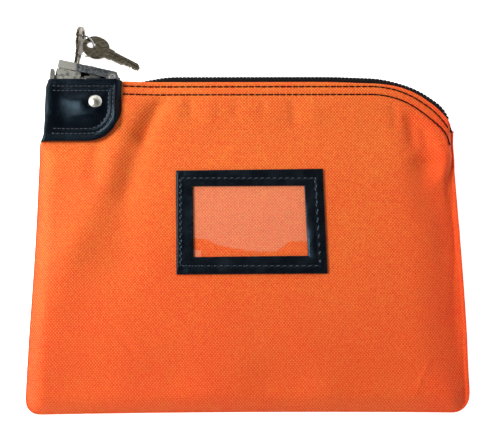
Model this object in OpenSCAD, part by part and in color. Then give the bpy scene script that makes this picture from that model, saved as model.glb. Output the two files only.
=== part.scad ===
// Locking cash deposit bag: flat canvas pouch with a zipped mouth, a leather
// corner that carries a pop-up cylinder lock, two keys on a ring and a framed
// card window. The bag lies on its back: +X runs along the mouth towards the
// closed end of the zip, +Y from the bottom fold to the zip, +Z is the front.
// The origin is the middle of the back panel's underside.

/* [Bag] */
// Width across the side seams
bag_w = 279.4; // [270:0.1:290]
// Distance from the origin down to the bottom fold
bottom_y = 111; // [106:0.5:114]
// Distance from the origin up to the fold of the mouth hem
mouth_y = 104; // [100:0.5:106]
// Canvas thickness
canvas_t = 1.0; // [0.8:0.1:1.2]
// Height of the filled front panel above the table
body_z = 8.5; // [8:0.5:10]
// Height of the mouth hem above the table
mouth_z = 11.2; // [11.2:0.1:12]
// Radius of the lower left corner
corner_left_r = 9; // [5:1:14]
// Radius of the lower right corner
corner_right_r = 12; // [5:1:16]

/* [Curved mouth] */
// X where the mouth leaves its straight run
curve_x = 82; // [78:1:84]
// Radius of the first bend of the mouth
bend_1_r = 62; // [60:1:64]
// Angle turned by the first bend
bend_1_a = 37; // [35:1:38]
// Straight run between the two bends
bend_gap = 4; // [3:1:5]
// Radius of the second bend
bend_2_r = 50; // [48:1:52]
// Angle at which the mouth meets the side seam
bend_2_a = 62; // [60:1:64]

/* [Leather corner] */
// Left face of the leather
leather_x0 = -135.6; // [-136:0.1:-135.4]
// Right edge of the leather
leather_x1 = -84.7; // [-85:0.1:-84]
// Bottom edge of the leather
leather_y0 = 64.5; // [63:0.5:66]
// Top edge of the leather
leather_y1 = 103.5; // [103:0.5:104]
// Radius of the free lower corner
leather_corner_r = 17; // [14:1:19]
// Leather thickness
leather_t = 1.1; // [0.9:0.1:1.2]
// Stitch spacing on the leather
leather_pitch = 2.9; // [2.5:0.1:4]

/* [Card window] */
// Left edge of the frame
window_x0 = -46.7; // [-50:0.1:-44]
// Right edge of the frame
window_x1 = 50.4; // [48:0.1:54]
// Bottom edge of the frame
window_y0 = -24; // [-28:0.1:-22]
// Top edge of the frame
window_y1 = 43; // [40:0.1:46]
// Width of the upright members
member_x = 11.2; // [9:0.1:13]
// Width of the lying members
member_y = 10; // [8:0.1:12]
// Frame thickness
window_t = 1.4; // [1:0.1:1.6]

/* [Zip] */
// Height of the middle of the tooth chain
chain_z = 8.2; // [8:0.1:8.4]
// Tooth spacing along one tape
tooth_pitch = 2.54; // [2.5:0.01:2.6]
// Middle of the slider when the bag is zipped shut
slider_x = -104.6; // [-105:0.1:-104]

/* [Lock] */
// X of the pivot of the lock head
pivot_x = -90; // [-90.2:0.1:-89.8]
// Y of the pivot of the lock head
pivot_y = 105.8; // [105.6:0.1:106]
// Height of the middle of the lock
lock_z = 8.5; // [8.4:0.1:8.6]
// Angle by which the open lock head stands up
pop_a = 6.5; // [6:0.5:7]
// Distance of the cylinder from the pivot
plug_x = 27; // [26.8:0.1:27.2]
// Radius of the cylinder plug
plug_r = 3.65; // [3.5:0.05:3.7]

/* [Keys] */
// Radius of the round head of a key
bow_r = 8.4; // [8:0.1:8.4]
// Thickness of a key
key_t = 2.0; // [1.6:0.1:2]
// Radius of the hole in a key's head
bow_hole_r = 2.8; // [2.6:0.1:3]
// Radius of the key ring, to the middle of its wire
ring_r = 6.95; // [6.9:0.05:7]
// Radius of the key ring's wire
wire_r = 0.6; // [0.4:0.05:0.6]

/* [Hidden] */
orange = [0.93, 0.40, 0.18];
black = [0.09, 0.10, 0.13];
thread_dark = [0.16, 0.07, 0.06];
nickel = [0.72, 0.71, 0.67];
steel = [0.62, 0.63, 0.62];
brass = [0.80, 0.66, 0.36];

half_w = bag_w / 2;
seam_z = 2 * canvas_t;
tuck = 0.2;

// Mouth path: straight, first bend, short straight, second bend
bend_1_c = [curve_x, mouth_y - bend_1_r];
bend_1_end = bend_1_c + bend_1_r * [sin(bend_1_a), cos(bend_1_a)];
bend_2_start = bend_1_end + bend_gap * [cos(bend_1_a), -sin(bend_1_a)];
bend_2_c = bend_2_start - bend_2_r * [sin(bend_1_a), cos(bend_1_a)];
mouth_end = bend_2_c + bend_2_r * [sin(bend_2_a), cos(bend_2_a)];
bend_steps = 10;
zip_end_a = 52;
zip_start_x = -98.5;
cord_start_x = -109.7;
tape_start_x = -84;

// Corner where the canvas is drawn in and lifted by the lock
corner_x0 = leather_x0 + leather_t + tuck;
draw_in = half_w + corner_x0;
corner_mouth_y = mouth_y - 1.4;
corner_top_z = 16.1;
side_y = 63;

// Zip section, as distances beyond the fold of the hem
tape_t = 0.5;
tape_in = 12;
tape_out = 1.9;
flange_t = 0.4;
tooth_y0 = tape_out + flange_t;
tooth_y1 = tooth_y0 + 1.8;
tooth_z = 3.2;
tooth_shift = 0.8;
front_tape_z = mouth_z - 2 * canvas_t - tape_t - 0.1;

// Lock section
frame_wall = 1.0;
frame_half = 6.4;
head_half = 5.1;
cheek_t = 0.8;
hood_x0 = -37.6;
hood_x1 = 1.1;
hood_top_0 = 4.85;
hood_slope = 0.1126;
hood_h = 5.5;
hood_web = 1.0;
gap_h = 0.9;
block_x0 = -38.1;
block_x1 = -21.4;
block_bottom = -19;
neck_half = 4.2;
plug_bore_r = plug_r + 0.05;
plug_bottom = -12;
plug_top = 6.2;
frame_x0 = -131.3;
frame_x1 = -86;
frame_y0 = 79.5;
frame_y1 = 101.5;
end_wall = 1.2;
ear_r = 4.0;
pivot_r = 1.5;
rivet_x = -100.1;
rivet_y = 87.8;
rivet_r = 2.0;

// Pins of the cylinder, from the outside in
pin_y = [for (i = [0:3]) 1.6 - 2.05 * i];
pin_r = 0.7;
chamber_x = -37.6;
land_w = 2.0;
cut_depth = [0.5, 1.1, 0.3, 0.8];

// Latch
cam_r = 2.4;
cam_pin_r = 0.6;
latch_y = -15;
latch_h = 2.4;

// Keys
bow_half = 0.6;
key_tip = 32.5;
hole_off = 3.8;
bow_y = 26.8;
blade_w = 3.0;
spare_c = [-103.17, 129.99, 8.06];
spare_turn = [-14, 4.9, -26.4];
ring_c = [-111.53, 132.3, 5.64];
ring_tilt = [0, 40.2, -120.4];

// ---------- Functions ----------

function clamp01(t) = min(max(t, 0), 1);
function smooth(t) = let (c = clamp01(t)) c * c * (3 - 2 * c);
function flip(p) = [for (i = [len(p) - 1:-1:0]) p[i]];
function on_arc(c, r, a) = c + r * [sin(a), cos(a)];

// Points of the mouth path moved outwards by d, from x0 to bend angle a_end
function mouth_line(d, x0, a_end) = concat(
    [[x0, mouth_y + d]],
    [for (i = [0:bend_steps]) on_arc(bend_1_c, bend_1_r + d, bend_1_a * i / bend_steps)],
    [for (i = [0:bend_steps])
        on_arc(bend_2_c, bend_2_r + d, bend_1_a + (a_end - bend_1_a) * i / bend_steps)]
);

// Closed outline of a band along the mouth between two distances
function mouth_band(d0, d1, x0, a_end) =
    concat(mouth_line(d1, x0, a_end), flip(mouth_line(d0, x0, a_end)));

// Place on the mouth path at arc length s from x0: [x, y, angle]
arc_1 = bend_1_r * bend_1_a * PI / 180;
function mouth_at(s, x0) =
    let (run = curve_x - x0,
         s1 = s - run,
         s2 = s1 - arc_1,
         s3 = s2 - bend_gap,
         a1 = s1 / bend_1_r * 180 / PI,
         a2 = bend_1_a + s3 / bend_2_r * 180 / PI)
    s1 <= 0 ? [x0 + s, mouth_y, 0]
    : s2 <= 0 ? concat(on_arc(bend_1_c, bend_1_r, a1), [-a1])
    : s3 <= 0 ? concat(bend_1_end + s2 * [cos(bend_1_a), -sin(bend_1_a)], [-bend_1_a])
    : concat(on_arc(bend_2_c, bend_2_r, a2), [-a2]);

// Length of the mouth path from x0 to bend angle a_end
function mouth_length(x0, a_end) =
    curve_x - x0 + arc_1 + bend_gap + bend_2_r * (a_end - bend_1_a) * PI / 180;

// Distance of a point inside the mouth's fold line
function mouth_depth(x, y) =
    let (v1 = [x, y] - bend_1_c,
         v2 = [x, y] - bend_2_c,
         a1 = atan2(v1[0], v1[1]),
         a2 = atan2(v2[0], v2[1]),
         out = [sin(bend_1_a), cos(bend_1_a)])
    x <= curve_x ? mouth_y - y
    : a1 < bend_1_a ? bend_1_r - norm(v1)
    : a2 > bend_2_a ? norm([x, y] - mouth_end)
    : a2 > bend_1_a ? bend_2_r - norm(v2)
    : (bend_1_end - [x, y]) * out;

// Height of the mouth's fold line above the bottom at a given x
end_slope = (mouth_end[1] - side_y) / (half_w - mouth_end[0]);
function top_y(x) =
    let (drop = corner_mouth_y - mouth_y)
    x < curve_x ? mouth_y + drop * smooth((leather_x1 + 1.7 - x) / 3)
    : x < bend_1_end[0] ? bend_1_c[1] + sqrt(pow(bend_1_r, 2) - pow(x - bend_1_c[0], 2))
    : x < bend_2_start[0] ? bend_1_end[1] - (x - bend_1_end[0]) * tan(bend_1_a)
    : x < mouth_end[0] ? bend_2_c[1] + sqrt(pow(bend_2_r, 2) - pow(x - bend_2_c[0], 2))
    : mouth_end[1] - (x - mouth_end[0]) * end_slope;

function corner_rise(d, r) = d >= r ? 0 : r - sqrt(pow(r, 2) - pow(r - d, 2));
function low_y(x) = -bottom_y
    + corner_rise(x + half_w, corner_left_r)
    + corner_rise(half_w - x, corner_right_r);

// The side of the bag is drawn in beside the lock
function side_shift(y) = draw_in * smooth((y - 46) / 18);

// Spacing that is finer towards both edges
function graded(t) = 0.35 * t + 0.65 * (1 - cos(180 * t)) / 2;

// Quarter-round rise from an edge over width w
function roll(d, w) = sin(90 * clamp01(d / w));

// Height of the front panel's outer face
function lock_lift(x, y) =
    (1 - smooth((x + 83) / 14)) * smooth((y - 62.5) / 16.5);
function front_z(x, y, dl, dr, db) =
    let (left_w = 14 - 11.1 * smooth((y - 52) / 14),
         right_w = 14 - 9 * smooth((y - 20) / 55),
         mouth = smooth((22 - mouth_depth(x, y)) / 11),
         full = body_z + (mouth_z - body_z) * mouth,
         lifted = full + (corner_top_z - full) * lock_lift(x, y),
         left_seam = seam_z + 1.1 * smooth((y - 50) / 10) + 7.9 * smooth((y - 66) / 12),
         sides = roll(dr, right_w) * roll(db, 14),
         left = left_seam + (lifted - left_seam) * roll(dl, left_w))
    seam_z + (left - seam_z) * sides;

// ---------- Soft parts ----------

columns = 44;
rows = 34;

// Grid point of the front panel: top face for level 0, bottom face for level 1
function front_point(i, j, level) =
    let (x0 = -half_w + bag_w * graded(i / columns),
         lo = low_y(x0),
         hi = top_y(x0),
         y = lo + (hi - lo) * graded(j / rows),
         pull = side_shift(y) * clamp01(1 - (x0 + half_w) / 60),
         x = x0 + pull,
         z = front_z(x, y, x0 + half_w, half_w - x0, y - lo),
         hem = smooth(11 - mouth_depth(x, y)) * clamp01(z - seam_z - 0.1),
         t = canvas_t * (1 + hem * (x > tape_start_x + 4 ? 1 : 0)))
    [x, y, z - level * t];

module front_panel() {
    nx = columns + 1;
    ny = rows + 1;
    layer = nx * ny;
    points = [for (level = [0, 1]) for (i = [0:columns]) for (j = [0:rows])
        front_point(i, j, level)];
    top = [for (i = [0:columns - 1]) for (j = [0:rows - 1])
        let (a = i * ny + j, b = a + ny)
        each [[a, a + 1, b + 1], [a, b + 1, b]]];
    under = [for (f = top) [f[2] + layer, f[1] + layer, f[0] + layer]];
    ring = concat(
        [for (i = [0:columns - 1]) i * ny],
        [for (j = [0:rows - 1]) columns * ny + j],
        [for (i = [columns:-1:1]) i * ny + rows],
        [for (j = [rows:-1:1]) j]);
    n = len(ring);
    wall = [for (k = [0:n - 1])
        let (a = ring[k], b = ring[(k + 1) % n])
        each [[a, b, b + layer], [a, b + layer, a + layer]]];
    color(orange)
        difference() {
            polyhedron(points = points, faces = concat(top, under, wall));
            translate([rivet_x, rivet_y, 10])
                cylinder(r = rivet_r + 0.2, h = 10, $fn = 32);
        }
}

// Plan outline of the back panel, as one closed line
function corner_arc(c, r, a0) = [for (i = [0:6]) c + r * [cos(a0 + 15 * i), sin(a0 + 15 * i)]];
back_outline = concat(
    corner_arc([-half_w + corner_left_r, -bottom_y + corner_left_r], corner_left_r, 180),
    corner_arc([half_w - corner_right_r, -bottom_y + corner_right_r], corner_right_r, 270),
    [[half_w, side_y]],
    flip(mouth_line(0, tape_start_x, bend_2_a)),
    [[tape_start_x, corner_mouth_y], [corner_x0, corner_mouth_y]],
    [for (i = [0:6]) let (y = 64 - 3 * i) [-half_w + side_shift(y), y]]
);

module slab(points, z0, z1) {
    translate([0, 0, z0])
        linear_extrude(z1 - z0)
            polygon(points);
}

module leather_plan(grow, z0, z1) {
    r = leather_corner_r + grow;
    c = [leather_x1 - leather_corner_r, leather_y0 + leather_corner_r];
    arc = [for (i = [0:8]) c + r * [sin(11.25 * i), -cos(11.25 * i)]];
    slab(concat(
        [[leather_x0 - grow, leather_y0 - grow]],
        arc,
        [[leather_x1 + grow, leather_y1 + grow], [leather_x0 - grow, leather_y1 + grow]]),
        z0, z1);
}

module back_panel() {
    color(orange)
        difference() {
            union() {
                difference() {
                    slab(back_outline, 0, canvas_t);
                    leather_plan(tuck, -1, canvas_t + 1);
                }
                intersection() {
                    slab(back_outline, canvas_t, 2 * canvas_t);
                    leather_plan(2.2, 0, 3 * canvas_t);
                }
                slab(mouth_band(-10, 0, tape_start_x, 44), canvas_t, 2 * canvas_t);
            }
            translate([rivet_x, rivet_y, -1])
                cylinder(r = rivet_r + 0.1, h = 4, $fn = 32);
        }
}

module leather_back() {
    color(black)
        difference() {
            leather_plan(0, 0, canvas_t);
            translate([rivet_x, rivet_y, -1])
                cylinder(r = 4.9, h = 3, $fn = 32);
        }
}

// Section of the leather across the bag: side wall, rounded shoulder, flat top
function leather_across(t) = let (top = corner_top_z + tuck + t, r = 3.4) concat(
    [[leather_x1 + 1, -1], [leather_x0 + leather_t - t, -1]],
    [for (i = [0:5]) let (a = 18 * i)
        [leather_x0 + leather_t - t + (r + t) * (1 - cos(a)), top - (r + t) * (1 - sin(a))]],
    [[leather_x1 + 1, top]]
);

// Section of the leather along the bag: it rises from the canvas to the lock
function leather_z(y) = 9.0 + leather_t + (corner_top_z + tuck - 9.0) * smooth((y - 60.5) / 17);
function leather_along(t) = concat(
    [[leather_y1 + 1, -1], [leather_y0 - 1, -1]],
    [for (i = [0:8]) let (y = leather_y0 - 1 + 2 * i) [y, leather_z(y) + t - leather_t]],
    [[leather_y1 + 1, corner_top_z + tuck + t]]
);

module leather_form(t) {
    intersection() {
        translate([0, leather_y1 + 1, 0])
            rotate([90, 0, 0])
                linear_extrude(leather_y1 - leather_y0 + 2)
                    polygon(leather_across(t));
        translate([leather_x0 - 1, 0, 0])
            rotate([90, 0, 90])
                linear_extrude(leather_x1 - leather_x0 + 2)
                    polygon(leather_along(t));
    }
}

module leather_front() {
    color(black)
        difference() {
            intersection() {
                leather_form(leather_t);
                leather_plan(0, canvas_t, 30);
            }
            leather_form(0);
            translate([rivet_x, rivet_y, 10])
                cylinder(r = rivet_r + 0.4, h = 20, $fn = 32);
        }
}

module window_frame() {
    vinyl_edge = 3;
    color(black)
        translate([window_x0, window_y0, body_z])
            difference() {
                w = window_x1 - window_x0;
                h = window_y1 - window_y0;
                cube([w, h, window_t]);
                translate([member_x, member_y, -1])
                    cube([w - 2 * member_x, h - 2 * member_y, 5]);
                translate([vinyl_edge, vinyl_edge, -1])
                    cube([w - 2 * vinyl_edge, h - 2 * vinyl_edge, 1.4]);
            }
}

module window_vinyl() {
    edge = 3.4;
    color([0.95, 0.85, 0.80, 0.35])
        translate([window_x0 + edge, window_y0 + edge, body_z + 0.05])
            cube([window_x1 - window_x0 - 2 * edge, window_y1 - window_y0 - 2 * edge, 0.3]);
}

// ---------- Stitching ----------

module stitch(x, y, z, a, len) {
    translate([x, y, z])
        rotate([0, 0, a])
            translate([-len / 2, -0.25, 0])
                cube([len, 0.5, 0.35]);
}

module stitch_run(p, q, z, pitch, len) {
    n = floor(norm(q - p) / pitch);
    a = atan2(q[1] - p[1], q[0] - p[0]);
    for (i = [0:n - 1]) {
        c = p + (q - p) * (i + 0.5) / n;
        stitch(c[0], c[1], z, a, len);
    }
}

module window_stitches() {
    inset = 3.2;
    x0 = window_x0 + inset;
    x1 = window_x1 - 5.6;
    y0 = window_y0 + 3.9;
    y1 = window_y1 - 4.3;
    z = body_z + window_t;
    color([0.45, 0.47, 0.50]) {
        stitch_run([x0, y0], [x1, y0], z, 3.9, 2.4);
        stitch_run([x0, y1], [x1, y1], z, 3.9, 2.4);
        stitch_run([x0, y0], [x0, y1], z, 3.9, 2.4);
        stitch_run([x1, y0], [x1, y1], z, 3.9, 2.4);
    }
}

module leather_stitches() {
    z = corner_top_z + tuck + leather_t;
    color([0.20, 0.22, 0.26])
        for (inset = [5.2, 8.3]) {
            x1 = leather_x1 - inset;
            y0 = leather_y0 + inset - 0.6;
            y1 = leather_y1 - inset;
            stitch_run([x1, 80.5], [x1, y1], z, leather_pitch, 1.9);
            stitch_run([leather_x0 + 8, y1], [x1, y1], z, leather_pitch, 1.9);
            stitch_run([leather_x0 + 8, y0], [leather_x1 - 15, y0], leather_z(y0 + 0.2) + 0.02,
                leather_pitch, 1.9);
        }
}

module hem_stitches() {
    pitch = 4.2;
    start_x = -67;
    color(thread_dark)
        for (inset = [3.5, 9.1]) {
            n = floor(mouth_length(start_x, 50) / pitch);
            for (i = [0:n - 1]) {
                m = mouth_at((i + 0.5) * pitch, start_x);
                x = m[0] + inset * sin(m[2]);
                y = m[1] - inset * cos(m[2]);
                stitch(x, y, mouth_z + 0.02, m[2], 2.8);
            }
        }
}

// ---------- Zip ----------

module zipper_tape_back() {
    color(black) {
        slab(mouth_band(-tape_in, tape_out, tape_start_x, zip_end_a), seam_z, seam_z + tape_t);
        slab(mouth_band(tape_out, tooth_y0, tape_start_x, zip_end_a), seam_z, chain_z - 1.6);
        slab(mouth_band(tape_out, tooth_y0, cord_start_x, zip_end_a), chain_z - 2.3, chain_z - 1.6);
    }
}

module zipper_tape_front() {
    color(black) {
        slab(mouth_band(-tape_in, tape_out, tape_start_x, zip_end_a), front_tape_z,
            front_tape_z + tape_t);
        slab(mouth_band(tape_out, tooth_y0, tape_start_x, zip_end_a), front_tape_z, chain_z + 2.3);
        slab(mouth_band(tape_out, tooth_y0, cord_start_x, zip_end_a), chain_z + 1.6, chain_z + 2.3);
    }
}

module teeth(offset_s, z) {
    n = floor((mouth_length(zip_start_x, zip_end_a) - 4) / tooth_pitch);
    color(black)
        for (i = [0:n - 1]) {
            m = mouth_at(offset_s + i * tooth_pitch, zip_start_x);
            translate([m[0], m[1], z])
                rotate([0, 0, m[2]])
                    translate([-0.52, tooth_y0, -tooth_z / 2])
                        cube([1.04, tooth_y1 - tooth_y0, tooth_z]);
        }
}

module zipper_teeth_back() { teeth(tooth_pitch / 2, chain_z - tooth_shift); }

module zipper_teeth_front() { teeth(0, chain_z + tooth_shift); }

module zipper_top_stops() {
    color(nickel)
        for (z = [chain_z - 2.4, chain_z + 1.4])
            translate([cord_start_x - 0.7, mouth_y + tape_out, z])
                cube([0.7, 2.0, 1.0]);
}

module zipper_bottom_stop() {
    m = mouth_at(mouth_length(zip_start_x, zip_end_a) - 1.6, zip_start_x);
    color(nickel)
        translate([m[0], m[1], chain_z - 2.6])
            rotate([0, 0, m[2]])
                translate([-1.4, tooth_y0, 0])
                    cube([2.8, 2.6, 5.2]);
}

module slider_body() {
    half = 3.5;
    channel = 2.6;
    color(nickel)
        translate([slider_x, mouth_y, chain_z])
            difference() {
                translate([-5, tooth_y0 + 0.3, -half])
                    cube([10, tooth_y1 - tooth_y0 + 0.9, 2 * half]);
                translate([-6, tooth_y0 - 1, -channel])
                    cube([12, tooth_y1 - tooth_y0 + 1.2, 2 * channel]);
                for (z = [-half, half])
                    translate([-5.4, tooth_y1 + 1.2, z])
                        rotate([0, 0, 90])
                            rotate([90, 0, 0])
                                cylinder(r = 1.2, h = 4, $fn = 4);
            }
}

module slider_bridge() {
    color(nickel)
        translate([slider_x, mouth_y + tooth_y1 + 1.2, chain_z])
            difference() {
                translate([-2.6, 0, -0.8])
                    cube([5.6, 0.95, 1.6]);
                translate([-1.5, -1, -2])
                    cube([3.4, 1.45, 4]);
            }
}

// ---------- Fixed lock parts ----------

module frame_plate(z) {
    translate([0, 0, z])
        linear_extrude(frame_wall)
            polygon([[frame_x0, frame_y0], [frame_x1, frame_y0],
                [frame_x1, pivot_y], [pivot_x - ear_r, pivot_y], [pivot_x - ear_r, frame_y1],
                [-128.2, frame_y1], [-128.2, 110.4], [-129, 111.9], [-130.4, 112.2],
                [frame_x0, 111]]);
    translate([pivot_x, pivot_y, z])
        cylinder(r = ear_r, h = frame_wall, $fn = 48);
}

module lock_frame() {
    low_z = lock_z - frame_half;
    color(nickel)
        difference() {
            union() {
                frame_plate(low_z);
                frame_plate(low_z + 2 * frame_half - frame_wall);
                translate([frame_x0, frame_y0, low_z])
                    cube([end_wall, 31, 2 * frame_half]);
                translate([frame_x0, frame_y0, low_z])
                    cube([frame_x1 - frame_x0, end_wall, 2 * frame_half]);
                translate([frame_x1 - end_wall, frame_y0, low_z])
                    cube([end_wall, 20, 2 * frame_half]);
            }
            translate([pivot_x, pivot_y, 0])
                cylinder(r = pivot_r, h = 20, $fn = 32);
            translate([rivet_x, rivet_y, 0])
                cylinder(r = rivet_r + 0.05, h = 20, $fn = 32);
            translate([frame_x0 - 1, pivot_y + latch_y - 1.6, lock_z - 2.4])
                cube([3, 3.2, 4.8]);
            translate([frame_x0 - 1, pivot_y + latch_y + 3.2, lock_z - 2.4])
                cube([3, 3.4, 4.8]);
        }
}

module rivet_cap() {
    color(nickel)
        translate([rivet_x, rivet_y, corner_top_z + tuck + leather_t + 0.05])
            intersection() {
                translate([0, 0, -4.8])
                    sphere(r = 6.7, $fn = 48);
                cylinder(r = 4.6, h = 3, $fn = 48);
            }
}

module rivet_post() {
    color(steel)
        translate([rivet_x, rivet_y, 0]) {
            translate([0, 0, 0.15])
                cylinder(r = 4.5, h = 0.8, $fn = 32);
            translate([0, 0, 0.95])
                cylinder(r = rivet_r, h = corner_top_z + tuck + leather_t - 0.9, $fn = 32);
        }
}

module pivot_pins() {
    length = frame_wall + 1.4;
    color(steel) {
        translate([pivot_x, pivot_y, lock_z - frame_half])
            cylinder(r = pivot_r, h = length, $fn = 32);
        translate([pivot_x, pivot_y, lock_z + frame_half - length])
            cylinder(r = pivot_r, h = length, $fn = 32);
        translate([pivot_x, pivot_y, lock_z + frame_half])
            cylinder(r1 = 2.3, r2 = 1.7, h = 0.5, $fn = 32);
    }
}

module coil(r, h, turns) {
    wire = h / turns / 2;
    rotate_extrude($fn = 32)
        union() {
            translate([r - 1.4 * wire, 0])
                square([0.8 * wire, h]);
            for (i = [0:turns - 1])
                translate([r - wire, wire * (2 * i + 1)])
                    circle(r = wire, $fn = 16);
        }
}

module pop_spring() {
    color(steel)
        translate([-120, frame_y0 + end_wall, lock_z])
            rotate([-90, 0, 0])
                coil(2.6, 4.6, 5);
}

// ---------- Moving lock head, drawn about its pivot with its cover level ----------

module in_head() {
    translate([pivot_x, pivot_y, lock_z])
        rotate([0, 0, -pop_a])
            children();
}

function hood_top(x) = hood_top_0 + (hood_x1 - x) * hood_slope;

module head_slab(points, z0, z1) {
    translate([0, 0, z0])
        linear_extrude(z1 - z0)
            polygon(points);
}

module lock_hood() {
    outer = [[hood_x0, hood_top(hood_x0) - hood_h], [hood_x0, hood_top(hood_x0) - 0.8],
        [hood_x0 + 0.8, hood_top(hood_x0 + 0.8)], [hood_x1, hood_top(hood_x1)],
        [hood_x1 + 1.4, hood_top(hood_x1) - 0.7], [hood_x1 + 1.4, hood_top(hood_x1) - hood_h]];
    inner = [[hood_x0 + 1, -9], [hood_x0 + 1, hood_top(hood_x0) - hood_web],
        [hood_x1 + 3, hood_top(hood_x1 + 3) - hood_web], [hood_x1 + 3, -9]];
    color(nickel)
        in_head()
            difference() {
                union() {
                    head_slab(outer, -head_half, head_half);
                    for (z = [-head_half, head_half - cheek_t])
                        translate([0, 0, z])
                            cylinder(r = 3.6, h = cheek_t, $fn = 48);
                }
                head_slab(inner, -head_half + cheek_t, head_half - cheek_t);
                head_slab([[-7, 3], [6, 3], [6, 9], [-7, 9]], -4.1, 3.5);
                translate([0, 0, -10])
                    cylinder(r = pivot_r + 0.05, h = 20, $fn = 32);
                translate([-plug_x, 0, 0])
                    rotate([-90, 0, 0])
                        cylinder(r = plug_r - 0.35, h = 20, $fn = 48);
            }
}

module cylinder_housing() {
    shoulder_0 = hood_top(block_x0) - hood_h - gap_h;
    shoulder_1 = hood_top(block_x1) - hood_h - gap_h;
    under_web = hood_web + 0.05;
    color(nickel)
        in_head()
            difference() {
                union() {
                    head_slab([[block_x0, block_bottom + 1.2], [block_x1, block_bottom + 1.2],
                        [block_x1, shoulder_1 - 0.8], [block_x1 - 0.8, shoulder_1],
                        [block_x0, shoulder_0]], -head_half + 0.1, head_half - 0.1);
                    head_slab([[-36.5, -8], [-22, -8], [-22, hood_top(-22) - under_web],
                        [-36.5, hood_top(-36.5) - under_web]], -neck_half, neck_half);
                }
                translate([-plug_x, plug_bottom, 0])
                    rotate([-90, 0, 0])
                        cylinder(r = plug_bore_r, h = 30, $fn = 48);
                translate([-plug_x - 7.2, block_bottom - 1, -3.4])
                    cube([11.6, plug_bottom - block_bottom + 1.01, 7.3]);
                translate([block_x0 - 1, latch_y - latch_h / 2 - 0.1, -2.1])
                    cube([9, latch_h + 0.2, 4.2]);
                translate([chamber_x - 2, pin_y[3] - 1, -1])
                    cube([2, pin_y[0] - pin_y[3] + 2, 2]);
                for (y = pin_y)
                    translate([chamber_x - 0.1, y, 0])
                        rotate([0, 90, 0])
                            cylinder(r = pin_r + 0.05, h = 9, $fn = 24);
            }
}

module housing_cap() {
    color(nickel)
        in_head()
            difference() {
                head_slab([[block_x0 + 0.3, block_bottom], [block_x1, block_bottom],
                    [block_x1, block_bottom + 1.2], [block_x0, block_bottom + 1.2]],
                    -head_half + 0.1, head_half - 0.1);
                for (x = [-35.4, -24])
                    translate([x, block_bottom - 1, -3.6])
                        rotate([-90, 0, 0])
                            cylinder(r = 0.75, h = 4, $fn = 24);
            }
}

module cap_screws() {
    color(steel)
        in_head()
            for (x = [-35.4, -24])
                translate([x, block_bottom - 0.6, -3.6])
                    rotate([-90, 0, 0])
                        difference() {
                            union() {
                                cylinder(r = 1.2, h = 0.6, $fn = 24);
                                cylinder(r = 0.75, h = 1.8, $fn = 24);
                            }
                            translate([-2, -0.15, -1])
                                cube([4, 0.3, 1.3]);
                        }
}

module driver_pins() {
    color(brass)
        in_head()
            for (y = pin_y)
                translate([-plug_x - plug_bore_r - 2.2, y, 0])
                    rotate([0, 90, 0])
                        cylinder(r = pin_r, h = 2.2, $fn = 24);
}

module pin_springs() {
    color(steel)
        in_head()
            for (y = pin_y)
                translate([chamber_x + 0.02, y, 0])
                    rotate([0, 90, 0])
                        coil(pin_r - 0.02, -chamber_x - plug_x - plug_bore_r - 2.24, 9);
}

module chamber_strip() {
    color(brass)
        in_head()
            translate([block_x0, pin_y[3] - 0.95, -0.95])
                cube([chamber_x - block_x0, pin_y[0] - pin_y[3] + 1.9, 1.9]);
}

module slider_hook() {
    color(steel)
        in_head()
            translate([0, 0, head_half - cheek_t - 1.0])
                linear_extrude(1.0)
                    polygon([[-17.6, hood_top(-17.6) - 1.4], [-17.6, 3.6], [-19.6, 2.6],
                        [-19.2, 1.9], [-16.4, 2.2], [-14.4, 3.4], [-12.6, hood_top(-12.6) - 1.4]]);
}

// ---------- Cylinder, cam and latch ----------

module in_plug() {
    in_head()
        translate([-plug_x, 0, 0])
            children();
}

module cylinder_plug() {
    color(brass)
        in_plug()
            difference() {
                translate([0, plug_bottom + 0.05, 0])
                    rotate([-90, 0, 0])
                        cylinder(r = plug_r, h = plug_top - plug_bottom - 0.05, $fn = 48);
                translate([-1.15, -8, -blade_w - 0.12])
                    cube([2.3, 20, 2 * blade_w + 0.24]);
                for (y = pin_y)
                    translate([0, y, 0])
                        cylinder(r = pin_r + 0.05, h = 5, $fn = 24);
                translate([0, plug_bottom - 1, 0])
                    rotate([-90, 0, 0])
                        cylinder(r = 0.9, h = 3.5, $fn = 24);
            }
}

module key_pins() {
    color(brass)
        in_plug()
            for (y = pin_y)
                translate([0, y, land_w + 0.15])
                    cylinder(r = pin_r, h = plug_r - land_w - 0.3, $fn = 24);
}

module cam_plate() {
    color(steel)
        in_plug()
            translate([0, plug_bottom, 0]) {
                difference() {
                    translate([0, -1.0, 0])
                        rotate([-90, 0, 0])
                            cylinder(r = 3.2, h = 1.0, $fn = 40);
                    translate([0, -2, 0])
                        rotate([-90, 0, 0])
                            cylinder(r = 0.9, h = 4, $fn = 24);
                }
                translate([cam_r * sin(45), -4.2, cam_r * cos(45)])
                    rotate([-90, 0, 0])
                        cylinder(r = cam_pin_r, h = 3.2, $fn = 24);
            }
}

module cam_screw() {
    color(steel)
        in_plug()
            translate([0, plug_bottom - 1.6, 0])
                rotate([-90, 0, 0]) {
                    cylinder(r = 1.5, h = 0.6, $fn = 24);
                    cylinder(r = 0.9, h = 3.8, $fn = 24);
                }
}

module latch_bolt() {
    slot_x = cam_r * sin(45);
    color(steel)
        in_plug()
            translate([0, latch_y - latch_h / 2, 0])
                difference() {
                    union() {
                        translate([block_x0 + plug_x + 0.1, 0, -2])
                            cube([12, latch_h, 4]);
                        translate([-3.4, 0, -2])
                            cube([slot_x + 5.3, latch_h, 5.8]);
                    }
                    translate([slot_x - 0.75, -1, 0.95])
                        cube([1.5, 5, 2.2]);
                }
}

// ---------- Keys ----------

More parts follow.
